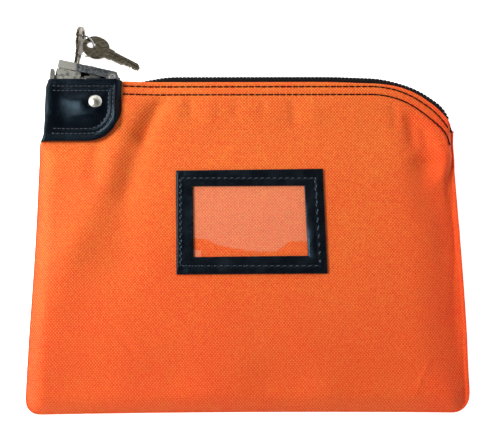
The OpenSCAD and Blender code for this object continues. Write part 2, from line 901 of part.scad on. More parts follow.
// Blade edge with one notch per pin; u runs from the bow's middle to the tip
cut_u = [for (y = pin_y) bow_y - y];
function blade_edge() = concat(
    [[10, blade_w], [20.4, blade_w], [21.6, land_w]],
    [for (i = [0:3]) let (u = cut_u[i], d = land_w - cut_depth[i])
        each [[u - 0.8, land_w], [u - 0.35, d], [u + 0.35, d], [u + 0.8, land_w]]],
    [[key_tip - 0.2, 0.6], [key_tip, -0.8], [key_tip - 2.2, -blade_w], [10, -blade_w]]
);

// Flat key in the X-Y plane, bow at the origin, tip towards +X, cuts at +Y
module key_shape() {
    groove_w = 1.0;
    groove_d = 0.45;
    difference() {
        union() {
            translate([0, 0, -key_t / 2]) {
                for (x = [-bow_half, bow_half])
                    translate([x, 0, 0])
                        cylinder(r = bow_r, h = key_t, $fn = 64);
                translate([-bow_half, -bow_r, 0])
                    cube([2 * bow_half, 2 * bow_r, key_t]);
                translate([7, -3.7, 0])
                    cube([5.2, 7.4, key_t]);
            }
            translate([0, 0, -key_t / 2 + 0.05])
                linear_extrude(key_t - 0.1)
                    polygon(blade_edge());
        }
        translate([-hole_off, 0, -5])
            cylinder(r = bow_hole_r, h = 10, $fn = 48);
        translate([11, -0.9, key_t / 2 - groove_d])
            cube([key_tip, groove_w, 2]);
        translate([11, -2.0, -2 - key_t / 2 + groove_d])
            cube([key_tip, groove_w, 2]);
    }
}

module lock_key() {
    color(nickel)
        in_plug()
            translate([0, bow_y, 0])
                multmatrix([[0, 0, 1, 0], [-1, 0, 0, 0], [0, -1, 0, 0], [0, 0, 0, 1]])
                    mirror([0, 1, 0])
                        key_shape();
}

module spare_key() {
    color(nickel)
        translate(spare_c)
            rotate(spare_turn)
                mirror([0, 1, 0])
                    key_shape();
}

module key_ring() {
    color(steel)
        translate(ring_c)
            rotate(ring_tilt)
                rotate_extrude($fn = 64)
                    translate([ring_r, 0])
                        circle(r = wire_r, $fn = 24);
}

back_panel();
front_panel();
leather_back();
leather_front();
window_frame();
window_vinyl();
window_stitches();
leather_stitches();
hem_stitches();
zipper_tape_back();
zipper_tape_front();
zipper_teeth_back();
zipper_teeth_front();
zipper_top_stops();
zipper_bottom_stop();
lock_frame();
rivet_cap();
rivet_post();
pivot_pins();
pop_spring();
lock_hood();
cylinder_housing();
housing_cap();
cap_screws();
driver_pins();
pin_springs();
chamber_strip();
slider_hook();
cylinder_plug();
key_pins();
cam_plate();
cam_screw();
latch_bolt();
slider_body();
slider_bridge();
lock_key();
key_ring();
spare_key();
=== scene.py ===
"""Looks of the locking cash deposit bag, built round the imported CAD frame.

Shapes are worked out in millimetres, in the row frame, and mesh_piece() turns them into metres.
"""

import math

import bpy
import numpy as np
from mathutils import Matrix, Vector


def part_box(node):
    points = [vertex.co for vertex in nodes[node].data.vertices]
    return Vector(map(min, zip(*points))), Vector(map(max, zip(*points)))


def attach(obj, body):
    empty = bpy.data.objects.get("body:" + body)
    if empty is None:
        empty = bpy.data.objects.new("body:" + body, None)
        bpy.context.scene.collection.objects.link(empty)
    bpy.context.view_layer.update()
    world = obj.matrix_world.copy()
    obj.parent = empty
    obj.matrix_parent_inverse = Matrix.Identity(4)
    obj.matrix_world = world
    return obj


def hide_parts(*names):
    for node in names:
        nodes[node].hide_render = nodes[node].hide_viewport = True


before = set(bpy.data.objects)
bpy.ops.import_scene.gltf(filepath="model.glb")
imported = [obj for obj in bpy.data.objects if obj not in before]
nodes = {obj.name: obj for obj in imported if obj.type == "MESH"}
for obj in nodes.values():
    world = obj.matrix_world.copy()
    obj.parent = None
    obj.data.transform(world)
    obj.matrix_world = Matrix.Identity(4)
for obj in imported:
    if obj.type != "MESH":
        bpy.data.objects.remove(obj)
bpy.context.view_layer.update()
MM = 0.001


def box_mm(node):
    """Lowest and highest corner of a CAD node, in millimetres."""
    low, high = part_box(node)
    return np.array(low) / MM, np.array(high) / MM


def smooth(t):
    c = np.clip(t, 0.0, 1.0)
    return c * c * (3 - 2 * c)


def bell(t):
    return np.exp(-np.square(t))


# ---------- The bag's outline and mouth, as in the CAD ----------

BAG_LOW, BAG_HIGH = box_mm("back_panel")
HALF_W = BAG_HIGH[0]
BOTTOM_Y = BAG_LOW[1]
MOUTH_Y = BAG_HIGH[1]
SIDE_Y = 71.0
# Heights of the front: at the seams, in the middle, at the mouth and over the lock
SEAM_Z, BODY_Z, MOUTH_Z, CORNER_Z = 1.6, 8.5, 11.2, 15.75
CORNER_LEFT_R = 9.0
CORNER_RIGHT_R = 12.0
CLOTH_T = 0.75
FOLD_R = 0.95

# The mouth from CURVE_X on: an arc, a short straight, and an arc down to the side seam. S_ is
# arc length from there, and A_ the direction at the end of each arc.
CURVE_X = 82.0
R_1, A_1 = 62.0, math.radians(37)
STRAIGHT = 4.0
R_2, A_2 = 50.0, math.radians(62)
C_1 = np.array([CURVE_X, MOUTH_Y - R_1])
END_1 = C_1 + R_1 * np.array([math.sin(A_1), math.cos(A_1)])
START_2 = END_1 + STRAIGHT * np.array([math.cos(A_1), -math.sin(A_1)])
C_2 = START_2 - R_2 * np.array([math.sin(A_1), math.cos(A_1)])
END_2 = C_2 + R_2 * np.array([math.sin(A_2), math.cos(A_2)])
S_1 = R_1 * A_1
S_2 = S_1 + STRAIGHT
S_END = S_2 + R_2 * (A_2 - A_1)
PAST_END_A = math.radians(76)
FAR_INSIDE = 60.0  # depth given to places beyond the second arc's end
MOUTH_DIP = 1.1


def mouth_angle(s):
    """Direction of the mouth at arc length s, counted from where its curve starts."""
    return np.where(s < S_2, np.clip(s, 0, S_1) / R_1, A_1 + (s - S_2) / R_2)


def mouth_at(s, out=0.0):
    """x, y of the mouth at arc length s, moved outwards."""
    s = np.asarray(s, float)
    a = mouth_angle(s)
    sin_a, cos_a = np.sin(a), np.cos(a)
    run = np.clip(s - S_1, 0, STRAIGHT)
    x = np.where(s < 0, CURVE_X + s, C_1[0] + R_1 * sin_a + run * cos_a)
    y = np.where(s < 0, MOUTH_Y, C_1[1] + R_1 * cos_a - run * sin_a)
    x = np.where(s > S_2, C_2[0] + R_2 * sin_a, x)
    y = np.where(s > S_2, C_2[1] + R_2 * cos_a, y)
    return x + out * sin_a, y + out * cos_a


def mouth_place(x, y):
    """Arc length of the nearest place on the mouth, and the depth inside it."""
    v1, v2 = (x - C_1[0], y - C_1[1]), (x - C_2[0], y - C_2[1])
    a1, a2 = np.arctan2(v1[0], v1[1]), np.arctan2(v2[0], v2[1])
    side = (END_1[0] - x) * math.sin(A_1) + (END_1[1] - y) * math.cos(A_1)
    along = (x - END_1[0]) * math.cos(A_1) - (y - END_1[1]) * math.sin(A_1)
    on_straight, on_first, on_second = x <= CURVE_X, a1 < A_1, a2 > A_1
    inside = R_2 - np.hypot(*v2)
    inside = inside + (FAR_INSIDE - inside) * smooth((a2 - PAST_END_A) / 0.5)
    parts = [on_straight, on_first, on_second]
    depth = np.select(parts, [MOUTH_Y - y, R_1 - np.hypot(*v1), inside], side)
    s = np.select(parts, [x - CURVE_X, R_1 * a1, S_2 + R_2 * (a2 - A_1)], S_1 + along)
    return s, depth


def mouth_s_at_x(x):
    """Arc length at which the mouth has this x."""
    s = np.linspace(0, S_END, 800)
    return np.where(x < CURVE_X, x - CURVE_X, np.interp(x, mouth_at(s)[0], s))


def mouth_dip(s):
    """The mouth sags a little where its curve starts."""
    return MOUTH_DIP * bell((s - 4) / 20)


def top_y(x):
    """Upper edge of the bag: the mouth, then the straight down to the side seam."""
    slope = (END_2[1] - SIDE_Y) / (HALF_W - END_2[0])
    s = mouth_s_at_x(x)
    on_mouth = mouth_at(s)[1] - mouth_dip(s)
    tucked = on_mouth - 1.3 * smooth((-83.0 - x) / 3)
    return np.where(x > END_2[0], END_2[1] - (x - END_2[0]) * slope, tucked)


def corner_rise(d, r):
    """Height of a rounded corner of radius r at distance d from the side."""
    inside = np.clip(d, 0, r)
    return r - np.sqrt(r * r - np.square(r - inside))


def low_y(x):
    """Lower edge of the bag, slightly bowed, with its two rounded corners."""
    bow = 0.9 * (1 - np.square(np.clip(x / 128, -1, 1)))
    return (BOTTOM_Y + bow + corner_rise(x + HALF_W, CORNER_LEFT_R)
            + corner_rise(HALF_W - x, CORNER_RIGHT_R))


WAVE_COUNT = 7


def waves(x, y, length, seed):
    """Smooth irregular waves of about that length, from -1 to 1."""
    r = np.random.default_rng(seed)
    total = 0.0
    for _ in range(WAVE_COUNT):
        turn, phase, scale = r.uniform(0, math.tau), r.uniform(0, math.tau), r.uniform(0.7, 1.5)
        k = math.tau / (length * scale)
        total = total + np.sin(k * (x * math.cos(turn) + y * math.sin(turn)) + phase)
    return total / WAVE_COUNT


# ---------- Meshes ----------

def scene_object(name, data):
    thing = bpy.data.objects.new(name, data)
    bpy.context.scene.collection.objects.link(thing)
    return thing


def mesh_piece(name, points, faces, material, slot, *stands_for, smooth_shade=True):
    """A mesh object from points in millimetres, riding on the bag in place of CAD nodes."""
    mesh = bpy.data.meshes.new(name)
    mesh.from_pydata((np.asarray(points, float) * MM).tolist(), [], [tuple(f) for f in faces])
    mesh.update()
    if smooth_shade:
        mesh.shade_smooth()
    mesh.materials.append(material)
    piece = scene_object(name, mesh)
    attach(piece, "bag")
    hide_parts(*stands_for)
    return piece


def grid_faces(nu, nv, flip=False, around=False):
    """Faces of a grid of nu by nv points, with v running fastest."""
    columns = nu if around else nu - 1
    i, j = np.meshgrid(np.arange(columns), np.arange(nv - 1), indexing="ij")
    a = (i * nv + j).ravel()
    b = (((i + 1) % nu) * nv + j).ravel()
    quads = np.stack([a, b, b + 1, a + 1], axis=1)
    return (quads[:, ::-1] if flip else quads).tolist()


def solidify(piece, thickness):
    """Thickness added inwards, in millimetres."""
    m = piece.modifiers.new("thickness", "SOLIDIFY")
    m.thickness = thickness * MM
    m.offset = -1.0
    m.use_even_offset = False


TUBE_SIDES = 6
STITCH_RINGS = 9


def tube_points(line, radius, up):
    """Rings of a tube along a line of points; radius may vary along it."""
    line = np.asarray(line, float)
    along = np.gradient(line, axis=0)
    along /= np.linalg.norm(along, axis=1, keepdims=True)
    side = np.cross(along, up)
    side /= np.linalg.norm(side, axis=1, keepdims=True)
    over = np.cross(side, along)
    a = np.linspace(0, math.tau, TUBE_SIDES, endpoint=False)
    radius = np.broadcast_to(np.asarray(radius, float), (len(line),))
    ring = side[:, None] * np.cos(a)[None, :, None] + over[:, None] * np.sin(a)[None, :, None]
    return (line[:, None] + ring * radius[:, None, None]).reshape(-1, 3)


def tube_faces(rings, start):
    """Sides and end caps of a tube whose points start at that index."""
    faces = []
    sides = range(TUBE_SIDES)
    for i in range(rings - 1):
        a, b = start + i * TUBE_SIDES, start + (i + 1) * TUBE_SIDES
        for k in sides:
            n = (k + 1) % TUBE_SIDES
            faces.append((a + k, b + k, b + n, a + n))
    faces.append(tuple(start + k for k in sides))
    faces.append(tuple(start + (rings - 1) * TUBE_SIDES + k for k in reversed(sides)))
    return faces


def stitches(name, places, length, radius, material, slot, node, rise):
    """Sewn threads: each place is (middle, direction, up). The ends dive into the cloth."""
    points, faces = [], []
    t = np.linspace(-1, 1, STITCH_RINGS)
    height = rise * (1 - t**4) - 0.75 * rise * t**8 - 0.1
    for middle, along, up in places:
        along, up = np.asarray(along, float), np.asarray(up, float)
        line = np.asarray(middle, float) + np.outer(t * length / 2, along) + np.outer(height, up)
        start = len(points) * STITCH_RINGS * TUBE_SIDES
        points.append(tube_points(line, radius * (1 - 0.45 * t**6), up))
        faces += tube_faces(STITCH_RINGS, start)
    mesh_piece(name, np.concatenate(points), faces, material, slot, node)


# ---------- Materials ----------

class Paint:
    """A material whose nodes are added by short calls."""

    def __init__(self, name, **sockets):
        self.material = bpy.data.materials.new(name)
        self.material.use_nodes = True
        self.tree = self.material.node_tree
        self.shader = self.tree.nodes["Principled BSDF"]
        self.fill(self.shader, sockets)
        self.place = self.node("TexCoord").outputs["Object"]

    def link(self, value, socket):
        if isinstance(value, bpy.types.NodeSocket):
            self.tree.links.new(value, socket)
        else:
            socket.default_value = value

    def fill(self, n, sockets):
        """Sets or links inputs of a node. An underscore in a name stands for a space."""
        for socket, value in sockets.items():
            self.link(value, n.inputs[socket.replace("_", " ")])
        return n

    def node(self, kind, **sockets):
        return self.fill(self.tree.nodes.new("ShaderNode" + kind), sockets)

    def math(self, operation, a, b=0.0):
        n = self.node("Math")
        n.operation = operation
        for value, socket in zip((a, b), n.inputs):
            self.link(value, socket)
        return n.outputs[0]

    def times(self, a, b):
        return self.math("MULTIPLY", a, b)

    def plus(self, a, b):
        return self.math("ADD", a, b)

    def minus(self, a, b):
        return self.math("SUBTRACT", a, b)

    def axis(self, which):
        """Coordinate along X (0) or Y (1), in metres."""
        return self.node("SeparateXYZ", Vector=self.place).outputs[which]

    def noise(self, size, detail=3.0, rough=0.55, stretch=None):
        """Noise whose lumps are about size millimetres across."""
        place = self.place
        if stretch:
            place = self.node("Mapping", Vector=place, Scale=stretch).outputs[0]
        return self.node("TexNoise", Vector=place, Scale=1 / (size * MM), Detail=detail,
                         Roughness=rough).outputs["Fac"]

    def cells(self, size):
        """Distance to the edges of irregular cells about size millimetres across."""
        n = self.node("TexVoronoi", Vector=self.place, Scale=1 / (size * MM))
        n.feature = "DISTANCE_TO_EDGE"
        return n.outputs["Distance"]

    def ramp(self, value, low, high, to_low=0.0, to_high=1.0):
        """Smooth change from to_low to to_high as the value goes from low to high."""
        n = self.node("MapRange")
        n.interpolation_type = "SMOOTHSTEP"
        for v, socket in zip((value, low, high, to_low, to_high), n.inputs):
            self.link(v, socket)
        return n.outputs[0]

    def mix(self, share, a, b):
        n = self.node("Mix")
        n.data_type = "RGBA"
        colour = [s for s in n.inputs if s.type == "RGBA"]
        self.link(share, n.inputs[0])
        for value, socket in ((a, colour[0]), (b, colour[1])):
            self.link(value if isinstance(value, bpy.types.NodeSocket) else (*value, 1.0), socket)
        return [s for s in n.outputs if s.type == "RGBA"][0]

    def bump(self, height, distance, strength=1.0, under=None):
        """Normal for that height, whose full range is distance millimetres."""
        n = self.node("Bump", Strength=strength, Distance=distance * MM, Height=height)
        if under:
            self.link(under, n.inputs["Normal"])
        return n.outputs[0]

    def set(self, **sockets):
        """Links shader inputs, and returns the finished material."""
        self.fill(self.shader, sockets)
        return self.material


def scaled(colour, *factors):
    """A colour multiplied by one factor, or by one for each of its three channels."""
    return tuple(k * c for k, c in zip(factors * (3 // len(factors)), colour))


def weave_height(p, pitch):
    """Height of a plain weave in the row's X-Y plane, from 0 between threads to 1 on top of one,
    and which of the two threads is over. The pitch is in millimetres."""
    wander = p.times(p.minus(p.noise(9, 2), 0.5), 2.2)
    u = p.plus(p.times(p.axis(0), math.pi / (pitch * MM)), wander)
    v = p.plus(p.times(p.axis(1), math.pi / (pitch * 1.12 * MM)), wander)
    sin_u, sin_v = p.math("SINE", u), p.math("SINE", v)
    warp = p.math("ABSOLUTE", sin_u)
    weft = p.math("ABSOLUTE", sin_v)
    over = p.math("GREATER_THAN", p.times(sin_u, sin_v), 0.0)

    def thread_top(across, along):
        return p.times(p.math("POWER", across, 0.6), p.plus(p.times(along, 0.6), 0.4))

    warp_top, weft_top = thread_top(warp, weft), thread_top(weft, warp)
    return p.plus(p.times(over, warp_top), p.times(p.minus(1.0, over), weft_top)), over


def canvas(light, dark, pitch):
    """Coarse orange canvas with painted shade: a deeper red low down, towards the side seams and
    between the threads.
    """
    p = Paint("canvas", Roughness=0.9, Specular_IOR_Level=0.40, Subsurface_Weight=0.55,
              Subsurface_Radius=(1.0, 0.10, 0.04), Subsurface_Scale=0.005)
    weave, over = weave_height(p, pitch)
    slub = p.plus(p.noise(0.8, 1, 0.5, stretch=(0.4, 1.2, 1.0)),
                  p.noise(0.8, 1, 0.5, stretch=(1.2, 0.4, 1.0)))
    cloud = p.noise(40, 2)
    # Painted shade between the threads: the weave's gaps take the dark colour, while slubs and a
    # cloud vary the tone at random.
    tone = p.plus(p.times(weave, 0.6), p.times(p.minus(slub, 1.0), 0.6))
    # Warp-over cells are lighter: partly the threads' own colour, partly painted light on the
    # threads that face the lamp.
    tone = p.plus(tone, p.times(over, 0.46))
    tone = p.plus(tone, p.times(p.minus(cloud, 0.5), 0.25))
    # Painted shade: the colour turns darker low down, at the left edge and towards the right side,
    # where the front lies in shade.
    upper = p.ramp(p.axis(1), -0.115, 0.105)
    left = p.ramp(p.axis(0), -0.1396, -0.1325)
    right = p.ramp(p.axis(0), 0.142, 0.080)
    colour = p.mix(upper, scaled(light, 0.81, 0.61, 0.52), light)
    colour = p.mix(left, scaled(light, 0.74, 0.52, 0.42), colour)
    colour = p.mix(right, scaled(light, 1.03, 0.50, 0.36), colour)
    fibre = p.bump(p.noise(0.22, 3, 0.7), 0.035, 0.5)
    return p.set(Base_Color=p.mix(p.ramp(tone, -0.02, 1.24), dark, colour),
                 Normal=p.bump(weave, 0.16, 1.0, under=fibre))


def worn(base, factor):
    """A dark colour where wear has lifted it."""
    return tuple(factor * c + 0.001 for c in base)


def hide(name, base, tint, rough, gloss, grain, depth, smoother=None):
    """Smooth leather or leather-like vinyl: fine creased grain and a soft gloss."""
    p = Paint(name, Specular_IOR_Level=gloss, Specular_Tint=(*tint, 1.0))
    creases = p.ramp(p.cells(grain), 0.0, 0.14)
    pores = p.noise(0.35, 2)
    wear = p.noise(11, 4, 0.6)
    lumps = p.bump(p.noise(5.5, 3), 0.12, 0.2)
    normal = p.bump(p.plus(creases, p.times(pores, 0.6)), depth, 0.7, under=lumps)
    roughness = p.ramp(wear, 0.3, 0.72, rough - 0.07, rough + 0.1)
    if smoother:
        roughness = p.minus(roughness, smoother(p))
    return p.set(Base_Color=p.mix(p.ramp(wear, 0.42, 0.8), base, worn(base, 1.7)),
                 Roughness=roughness, Normal=normal)


RUBBED_X, RUBBED_Y = -0.109, 0.085  # metres, as in every material


def leather_polish(p):
    """How much smoother the leather is away from its scuffed middle and lower edge."""
    x, y = p.axis(0), p.axis(1)
    away_x = p.math("ABSOLUTE", p.plus(x, -RUBBED_X))
    away_y = p.math("ABSOLUTE", p.minus(y, RUBBED_Y))
    polished = p.ramp(p.math("MAXIMUM", away_x, away_y), 0.009, 0.016, 0.0, 0.125)
    return p.times(polished, p.ramp(y, 0.067, 0.072))


def metal(name, base, rough=0.3, stain=None, lumps=0.0):
    """Plated metal with fine scratches and dull patches."""
    p = Paint(name, Metallic=1.0)
    patches = p.noise(3.2, 4, 0.65)
    lines = p.noise(0.9, 3, 0.6, stretch=(0.12, 1.6, 1.0))
    colour = p.mix(p.ramp(patches, 0.42, 0.72), base, stain or scaled(base, 0.62))
    low, high = max(0.05, rough - 0.1), rough + 0.14
    roughness = p.plus(p.ramp(patches, 0.3, 0.75, low, high), p.times(lines, 0.1))
    normal = p.bump(lines, 0.02, 0.35)
    if lumps:
        normal = p.bump(p.noise(2.0, 2), lumps, 0.6, under=normal)
    return p.set(Base_Color=colour, Roughness=roughness, Normal=normal)


def housing_metal():
    """Nickel, brass-yellow at its left end."""
    p = Paint("housing_nickel", Metallic=1.0)
    patches = p.noise(3.2, 4, 0.65)
    left = box_mm("cylinder_housing")[0][0]
    yellow_end = p.ramp(p.axis(0), (left + 2.6) * MM, (left + 1.5) * MM)
    plate = p.mix(p.ramp(patches, 0.46, 0.76), (0.37, 0.37, 0.335), (0.24, 0.24, 0.22))
    return p.set(Base_Color=p.mix(yellow_end, plate, (0.42, 0.31, 0.03)),
                 Roughness=p.ramp(patches, 0.3, 0.75, 0.2, 0.4), Normal=p.bump(patches, 0.03, 0.4))


def hood_metal():
    """Nickel cover: plain nickel by the key, and a painted dark reflection towards the pivot."""
    p = Paint("hood_nickel", Metallic=1.0)
    mottle = p.noise(1.5, 5, 0.7)
    spread = p.noise(6, 3)
    key_x = box_mm("lock_key")[0][0] + 3.0
    along = p.plus(p.axis(0), p.times(p.minus(spread, 0.5), 2 * MM))
    # Painted reflection: right of the key the cover is painted much darker than plain nickel.
    dark_part = p.ramp(along, (key_x - 0.6) * MM, (key_x + 2.2) * MM)
    painted_dark_reflection = p.mix(p.ramp(mottle, 0.40, 0.62), (0.038, 0.045, 0.051), (0.145, 0.155, 0.163))
    plain_nickel = p.mix(p.ramp(mottle, 0.35, 0.8), (0.33, 0.33, 0.295), (0.235, 0.235, 0.205))
    return p.set(Base_Color=p.mix(dark_part, plain_nickel, painted_dark_reflection),
                 Roughness=p.ramp(mottle, 0.3, 0.7, 0.3, 0.42), Normal=p.bump(mottle, 0.05, 0.4))


def thread(name, base, rough, gloss):
    """Twisted sewing thread."""
    p = Paint(name, Roughness=rough, Specular_IOR_Level=gloss)
    twist = p.noise(0.3, 3, 0.7)
    return p.set(Base_Color=p.mix(p.ramp(twist, 0.3, 0.7), scaled(base, 0.45), base),
                 Normal=p.bump(twist, 0.05, 0.8))


def tape_cloth(name, base):
    """Narrow woven tape with fine ribs along X and Y."""
    p = Paint(name, Roughness=0.75, Specular_IOR_Level=0.15)
    ribs, _ = weave_height(p, 0.42)
    return p.set(Base_Color=p.mix(ribs, base, worn(base, 2.2)), Normal=p.bump(ribs, 0.06, 0.8))


def moulded(name, base):
    """Hard black plastic with a slight haze."""
    p = Paint(name, Specular_IOR_Level=0.22)
    haze = p.noise(1.2, 3)
    return p.set(Base_Color=p.mix(haze, base, worn(base, 1.8)),
                 Roughness=p.ramp(haze, 0.3, 0.7, 0.29, 0.47), Normal=p.bump(haze, 0.03, 0.4))


CANVAS = canvas(light=(0.955, 0.252, 0.028), dark=(0.70, 0.010, 0.0003), pitch=0.98)
LEATHER = hide("leather", (0.0016, 0.0026, 0.0046), tint=(0.45, 0.75, 1.0), rough=0.235,
               gloss=0.105, grain=0.7, depth=0.03, smoother=leather_polish)
FRAME_VINYL = hide("frame_vinyl", (0.0022, 0.0028, 0.004), tint=(0.38, 0.70, 1.0), rough=0.29,
                   gloss=0.22, grain=0.5, depth=0.02)
NICKEL = metal("nickel", (0.155, 0.157, 0.146), 0.30)
STEEL = metal("steel", (0.38, 0.38, 0.375), 0.26)
RING_STEEL = metal("ring_steel", (0.66, 0.67, 0.68), 0.2)
RIVET_METAL = metal("rivet_nickel", (0.60, 0.58, 0.51), 0.30, stain=(0.49, 0.47, 0.42))
BRASS = metal("brass", (0.47, 0.36, 0.17), 0.3)
KEY_METAL = metal("key_metal", (0.15, 0.130, 0.092), 0.22, stain=(0.062, 0.052, 0.034), lumps=0.5)
HOOD_METAL = hood_metal()
HOUSING_METAL = housing_metal()
THREAD_DARK = thread("thread_dark", (0.030, 0.004, 0.002), 0.7, 0.05)
THREAD_BLACK = thread("thread_black", (0.012, 0.018, 0.028), 0.32, 0.8)
THREAD_GREY = thread("thread_grey", (0.045, 0.052, 0.065), 0.36, 0.6)
ZIP_TAPE = tape_cloth("zip_tape", (0.0025, 0.0025, 0.003))
ZIP_TOOTH = moulded("zip_tooth", (0.003, 0.003, 0.0035))

# ---------- Canvas ----------

HEM_PITCH = 4.2
HEM_DEPTH = 10.5
HEM_ROWS = (3.5, 9.1)


def hem_row(row, s):
    """Inset of a row of stitching; the lower row closes up towards the side seam."""
    return HEM_ROWS[0] if row == 0 else HEM_ROWS[1] - 2.9 * smooth((s - S_END + 16) / 24)


# The part that the card window keeps flat
WINDOW_X, WINDOW_Y = 1, 9.5
WINDOW_HALF_W, WINDOW_HALF_H = 50, 36

# Soft folds and hollows of the front: start, end, half width, height before the gain
FOLD_GAIN = 1.9
FOLDS = [
    ((-57, 94), (-70, 66), 5.0, -1.5),
    ((-70, 66), (-80, 30), 7.0, -1.2),
    ((-80, 30), (-82, -14), 11.0, -0.6),
    ((-75, 84), (-90, 52), 8.0, 0.8),
    ((-92, 44), (-114, -8), 14.0, 1.3),
    ((-114, -8), (-126, -44), 14.0, 0.7),
    ((-100, 58), (-101, 38), 5.5, -0.8),
    ((-39, 94), (-38, 82), 3.2, -0.45),
    ((-48, 94), (-47, 80), 4.0, 0.30),
    ((-25, 94), (-26, 80), 4.5, 0.30),
    ((-8, 94), (-8, 84), 3.4, -0.35),
    ((9, 94), (10, 85), 3.0, -0.30),
    ((29, 94), (31, 78), 3.6, -0.50),
    ((42, 94), (44, 80), 5.0, 0.35),
    ((108, 78), (110, 64), 4.2, -0.7),
    ((97, 86), (98, 74), 3.2, -0.4),
    ((118, 70), (120, 60), 3.0, -0.5),
    ((113, 74), (119, 48), 10.0, -1.2),
    ((119, 48), (120, 24), 11.0, -1.2),
    ((126, 10), (128, 4), 5.5, -0.5),
    ((130, -6), (128, -14), 6.0, -0.6),
    ((131, 58), (133, 20), 4.0, 0.9),
    ((-85, -57), (-70, -76), 1.7, -0.24),
    ((-82, -55), (-66, -74), 2.4, 0.14),
    ((113, -78), (99, -107), 1.3, 0.17),
    ((-104, -92), (-96, -95), 20.0, -1.0),
    ((-62, -92), (-50, -94), 16.0, -0.9),
    ((14, -93), (26, -95), 14.0, -1.0),
    ((70, -96), (84, -97), 14.0, -0.5),
]


def folds(x, y):
    """Height of the folds and hollows together."""
    z = 0.0
    for (x0, y0), (x1, y1), half_width, height in FOLDS:
        dx, dy = x1 - x0, y1 - y0
        t = np.clip(((x - x0) * dx + (y - y0) * dy) / (dx * dx + dy * dy), 0, 1)
        away = np.hypot(x - x0 - t * dx, y - y0 - t * dy)
        z = z + FOLD_GAIN * height * bell(away / half_width)
    return z


def hem_dimples(s, depth):
    """Rows of stitching pull the hem in, and it puckers between the stitches."""
    bend = 0.35 + 0.65 * smooth(s / 30)
    beat = np.cos(math.tau * s / HEM_PITCH)
    z = 0.0
    for row in (0, 1):
        z = z - (0.46 + 0.14 * beat) * bell((depth - hem_row(row, s)) / 0.9)
    between = bell((depth - sum(HEM_ROWS) / 2) / 2.2)
    below = bell((depth - 12.5) / 2.8)
    return z + bend * (0.16 * beat * between + 0.14 * beat * below)


def lock_lift(x, y):
    """Share by which the lock under the leather lifts the front."""
    return (1 - smooth((x + 88.6) / 5.0)) * smooth((y - 63.5) / 23.5)


def beside_lock(x, y):
    """The front climbs gently towards the lock from the right."""
    return 1.7 * bell((x + 85) / 13) * smooth((y - 60) / 16)


def roll(d, width):
    """Round shoulder: 0 at the seam, 1 from that width inwards."""
    return np.sin(math.pi / 2 * np.clip(d / width, 0, 1))


def plump_height(x, y, left, right, low):
    """The filled front before its sides roll down to the seams."""
    s, depth = mouth_place(x, y)
    full = BODY_Z + (MOUTH_Z - BODY_Z) * smooth((44 - depth) / 33)
    inner = smooth((depth - 8) / 10) * smooth(left / 18) * smooth(right / 16) * smooth(low / 16)
    off_window = (smooth((np.abs(x - WINDOW_X) - WINDOW_HALF_W) / 12)
                  + smooth((np.abs(y - WINDOW_Y) - WINDOW_HALF_H) / 12))
    loose = inner * np.clip(off_window, 0, 1)
    full = full + loose * (folds(x, y) + 0.22 * waves(x, y, 42, 3) + 0.10 * waves(x, y, 15, 4))
    full = full + hem_dimples(s, depth) + 0.10 * waves(x, y, 8, 5) * bell((depth - 5) / 6)
    full = full + beside_lock(x, y)
    return full + (CORNER_Z - full) * lock_lift(x, y)


def front_height(x, y, left, right, low):
    """Outer face of the front, from its distances to the left, right and lower seams."""
    full = plump_height(x, y, left, right, low)
    left_width = 14 - 11.1 * smooth((y - 52) / 14)
    right_width = 12.0 + 23.0 * smooth((y + 108) / 34) - 29.0 * smooth((y - 10) / 42)
    flange = 0.6 + (2.0 + 5.4 * (1 - bell((y - 2) / 24))) * (1 - smooth((y - 30) / 24))
    low_roll = roll(low, 13)
    left_edge = SEAM_Z + 1.3 * smooth((y - 50) / 10) + 11.2 * smooth((y - 66) / 14)
    face = left_edge + (full - left_edge) * roll(left, left_width)
    z = SEAM_Z + (face - SEAM_Z) * roll(right - 0.35 * flange, right_width) * low_roll
    z = z + (seam_height(x, y) - SEAM_Z) * (1 - smooth(right / flange)) * low_roll
    near = np.minimum(np.minimum(right, low), left)
    pucker = 0.16 * waves(x, y, 7, 6) * bell(near / 3.5) * smooth((60 - y) / 10)
    return z + pucker * roll(near, 1.5)


def seam_height(x, y):
    """The side seam lies low, and lifts on the right where the bag is slack."""
    return SEAM_Z + 2.0 * smooth((x - 80) / 50) * smooth((y + 95) / 40)


def edge_pull(x, y):
    """Shift along X that gives the sides the photo's outline, fading out inwards."""
    left = 7.4 * smooth((y - 63) / 7) + 0.25 + 0.35 * np.cos(y / 26) * smooth((60 - y) / 20)
    right = 1.0 + 1.1 * smooth((75 - y) / 14) - 1.2 * smooth((62 - y) / 110)
    reach_left = np.clip(1 - (x + HALF_W) / 60, 0, 1)
    reach_right = np.clip(1 - (HALF_W - x) / 40, 0, 1)
    return left * reach_left - right * reach_right


def closer_at_ends(count, share):
    """Steps from 0 to 1, some closer together at both ends."""
    t = np.linspace(0, 1, count)
    return (1 - share) * t + share * (1 - np.cos(math.pi * t)) / 2


FOLD_STEPS = 7
INNER_STEPS = 6
LEATHER_FOLD_R = 0.3
UNDER_LEATHER_X = -84
HEM_END_X = 136
END_NORMAL = (0.75, 0.66)


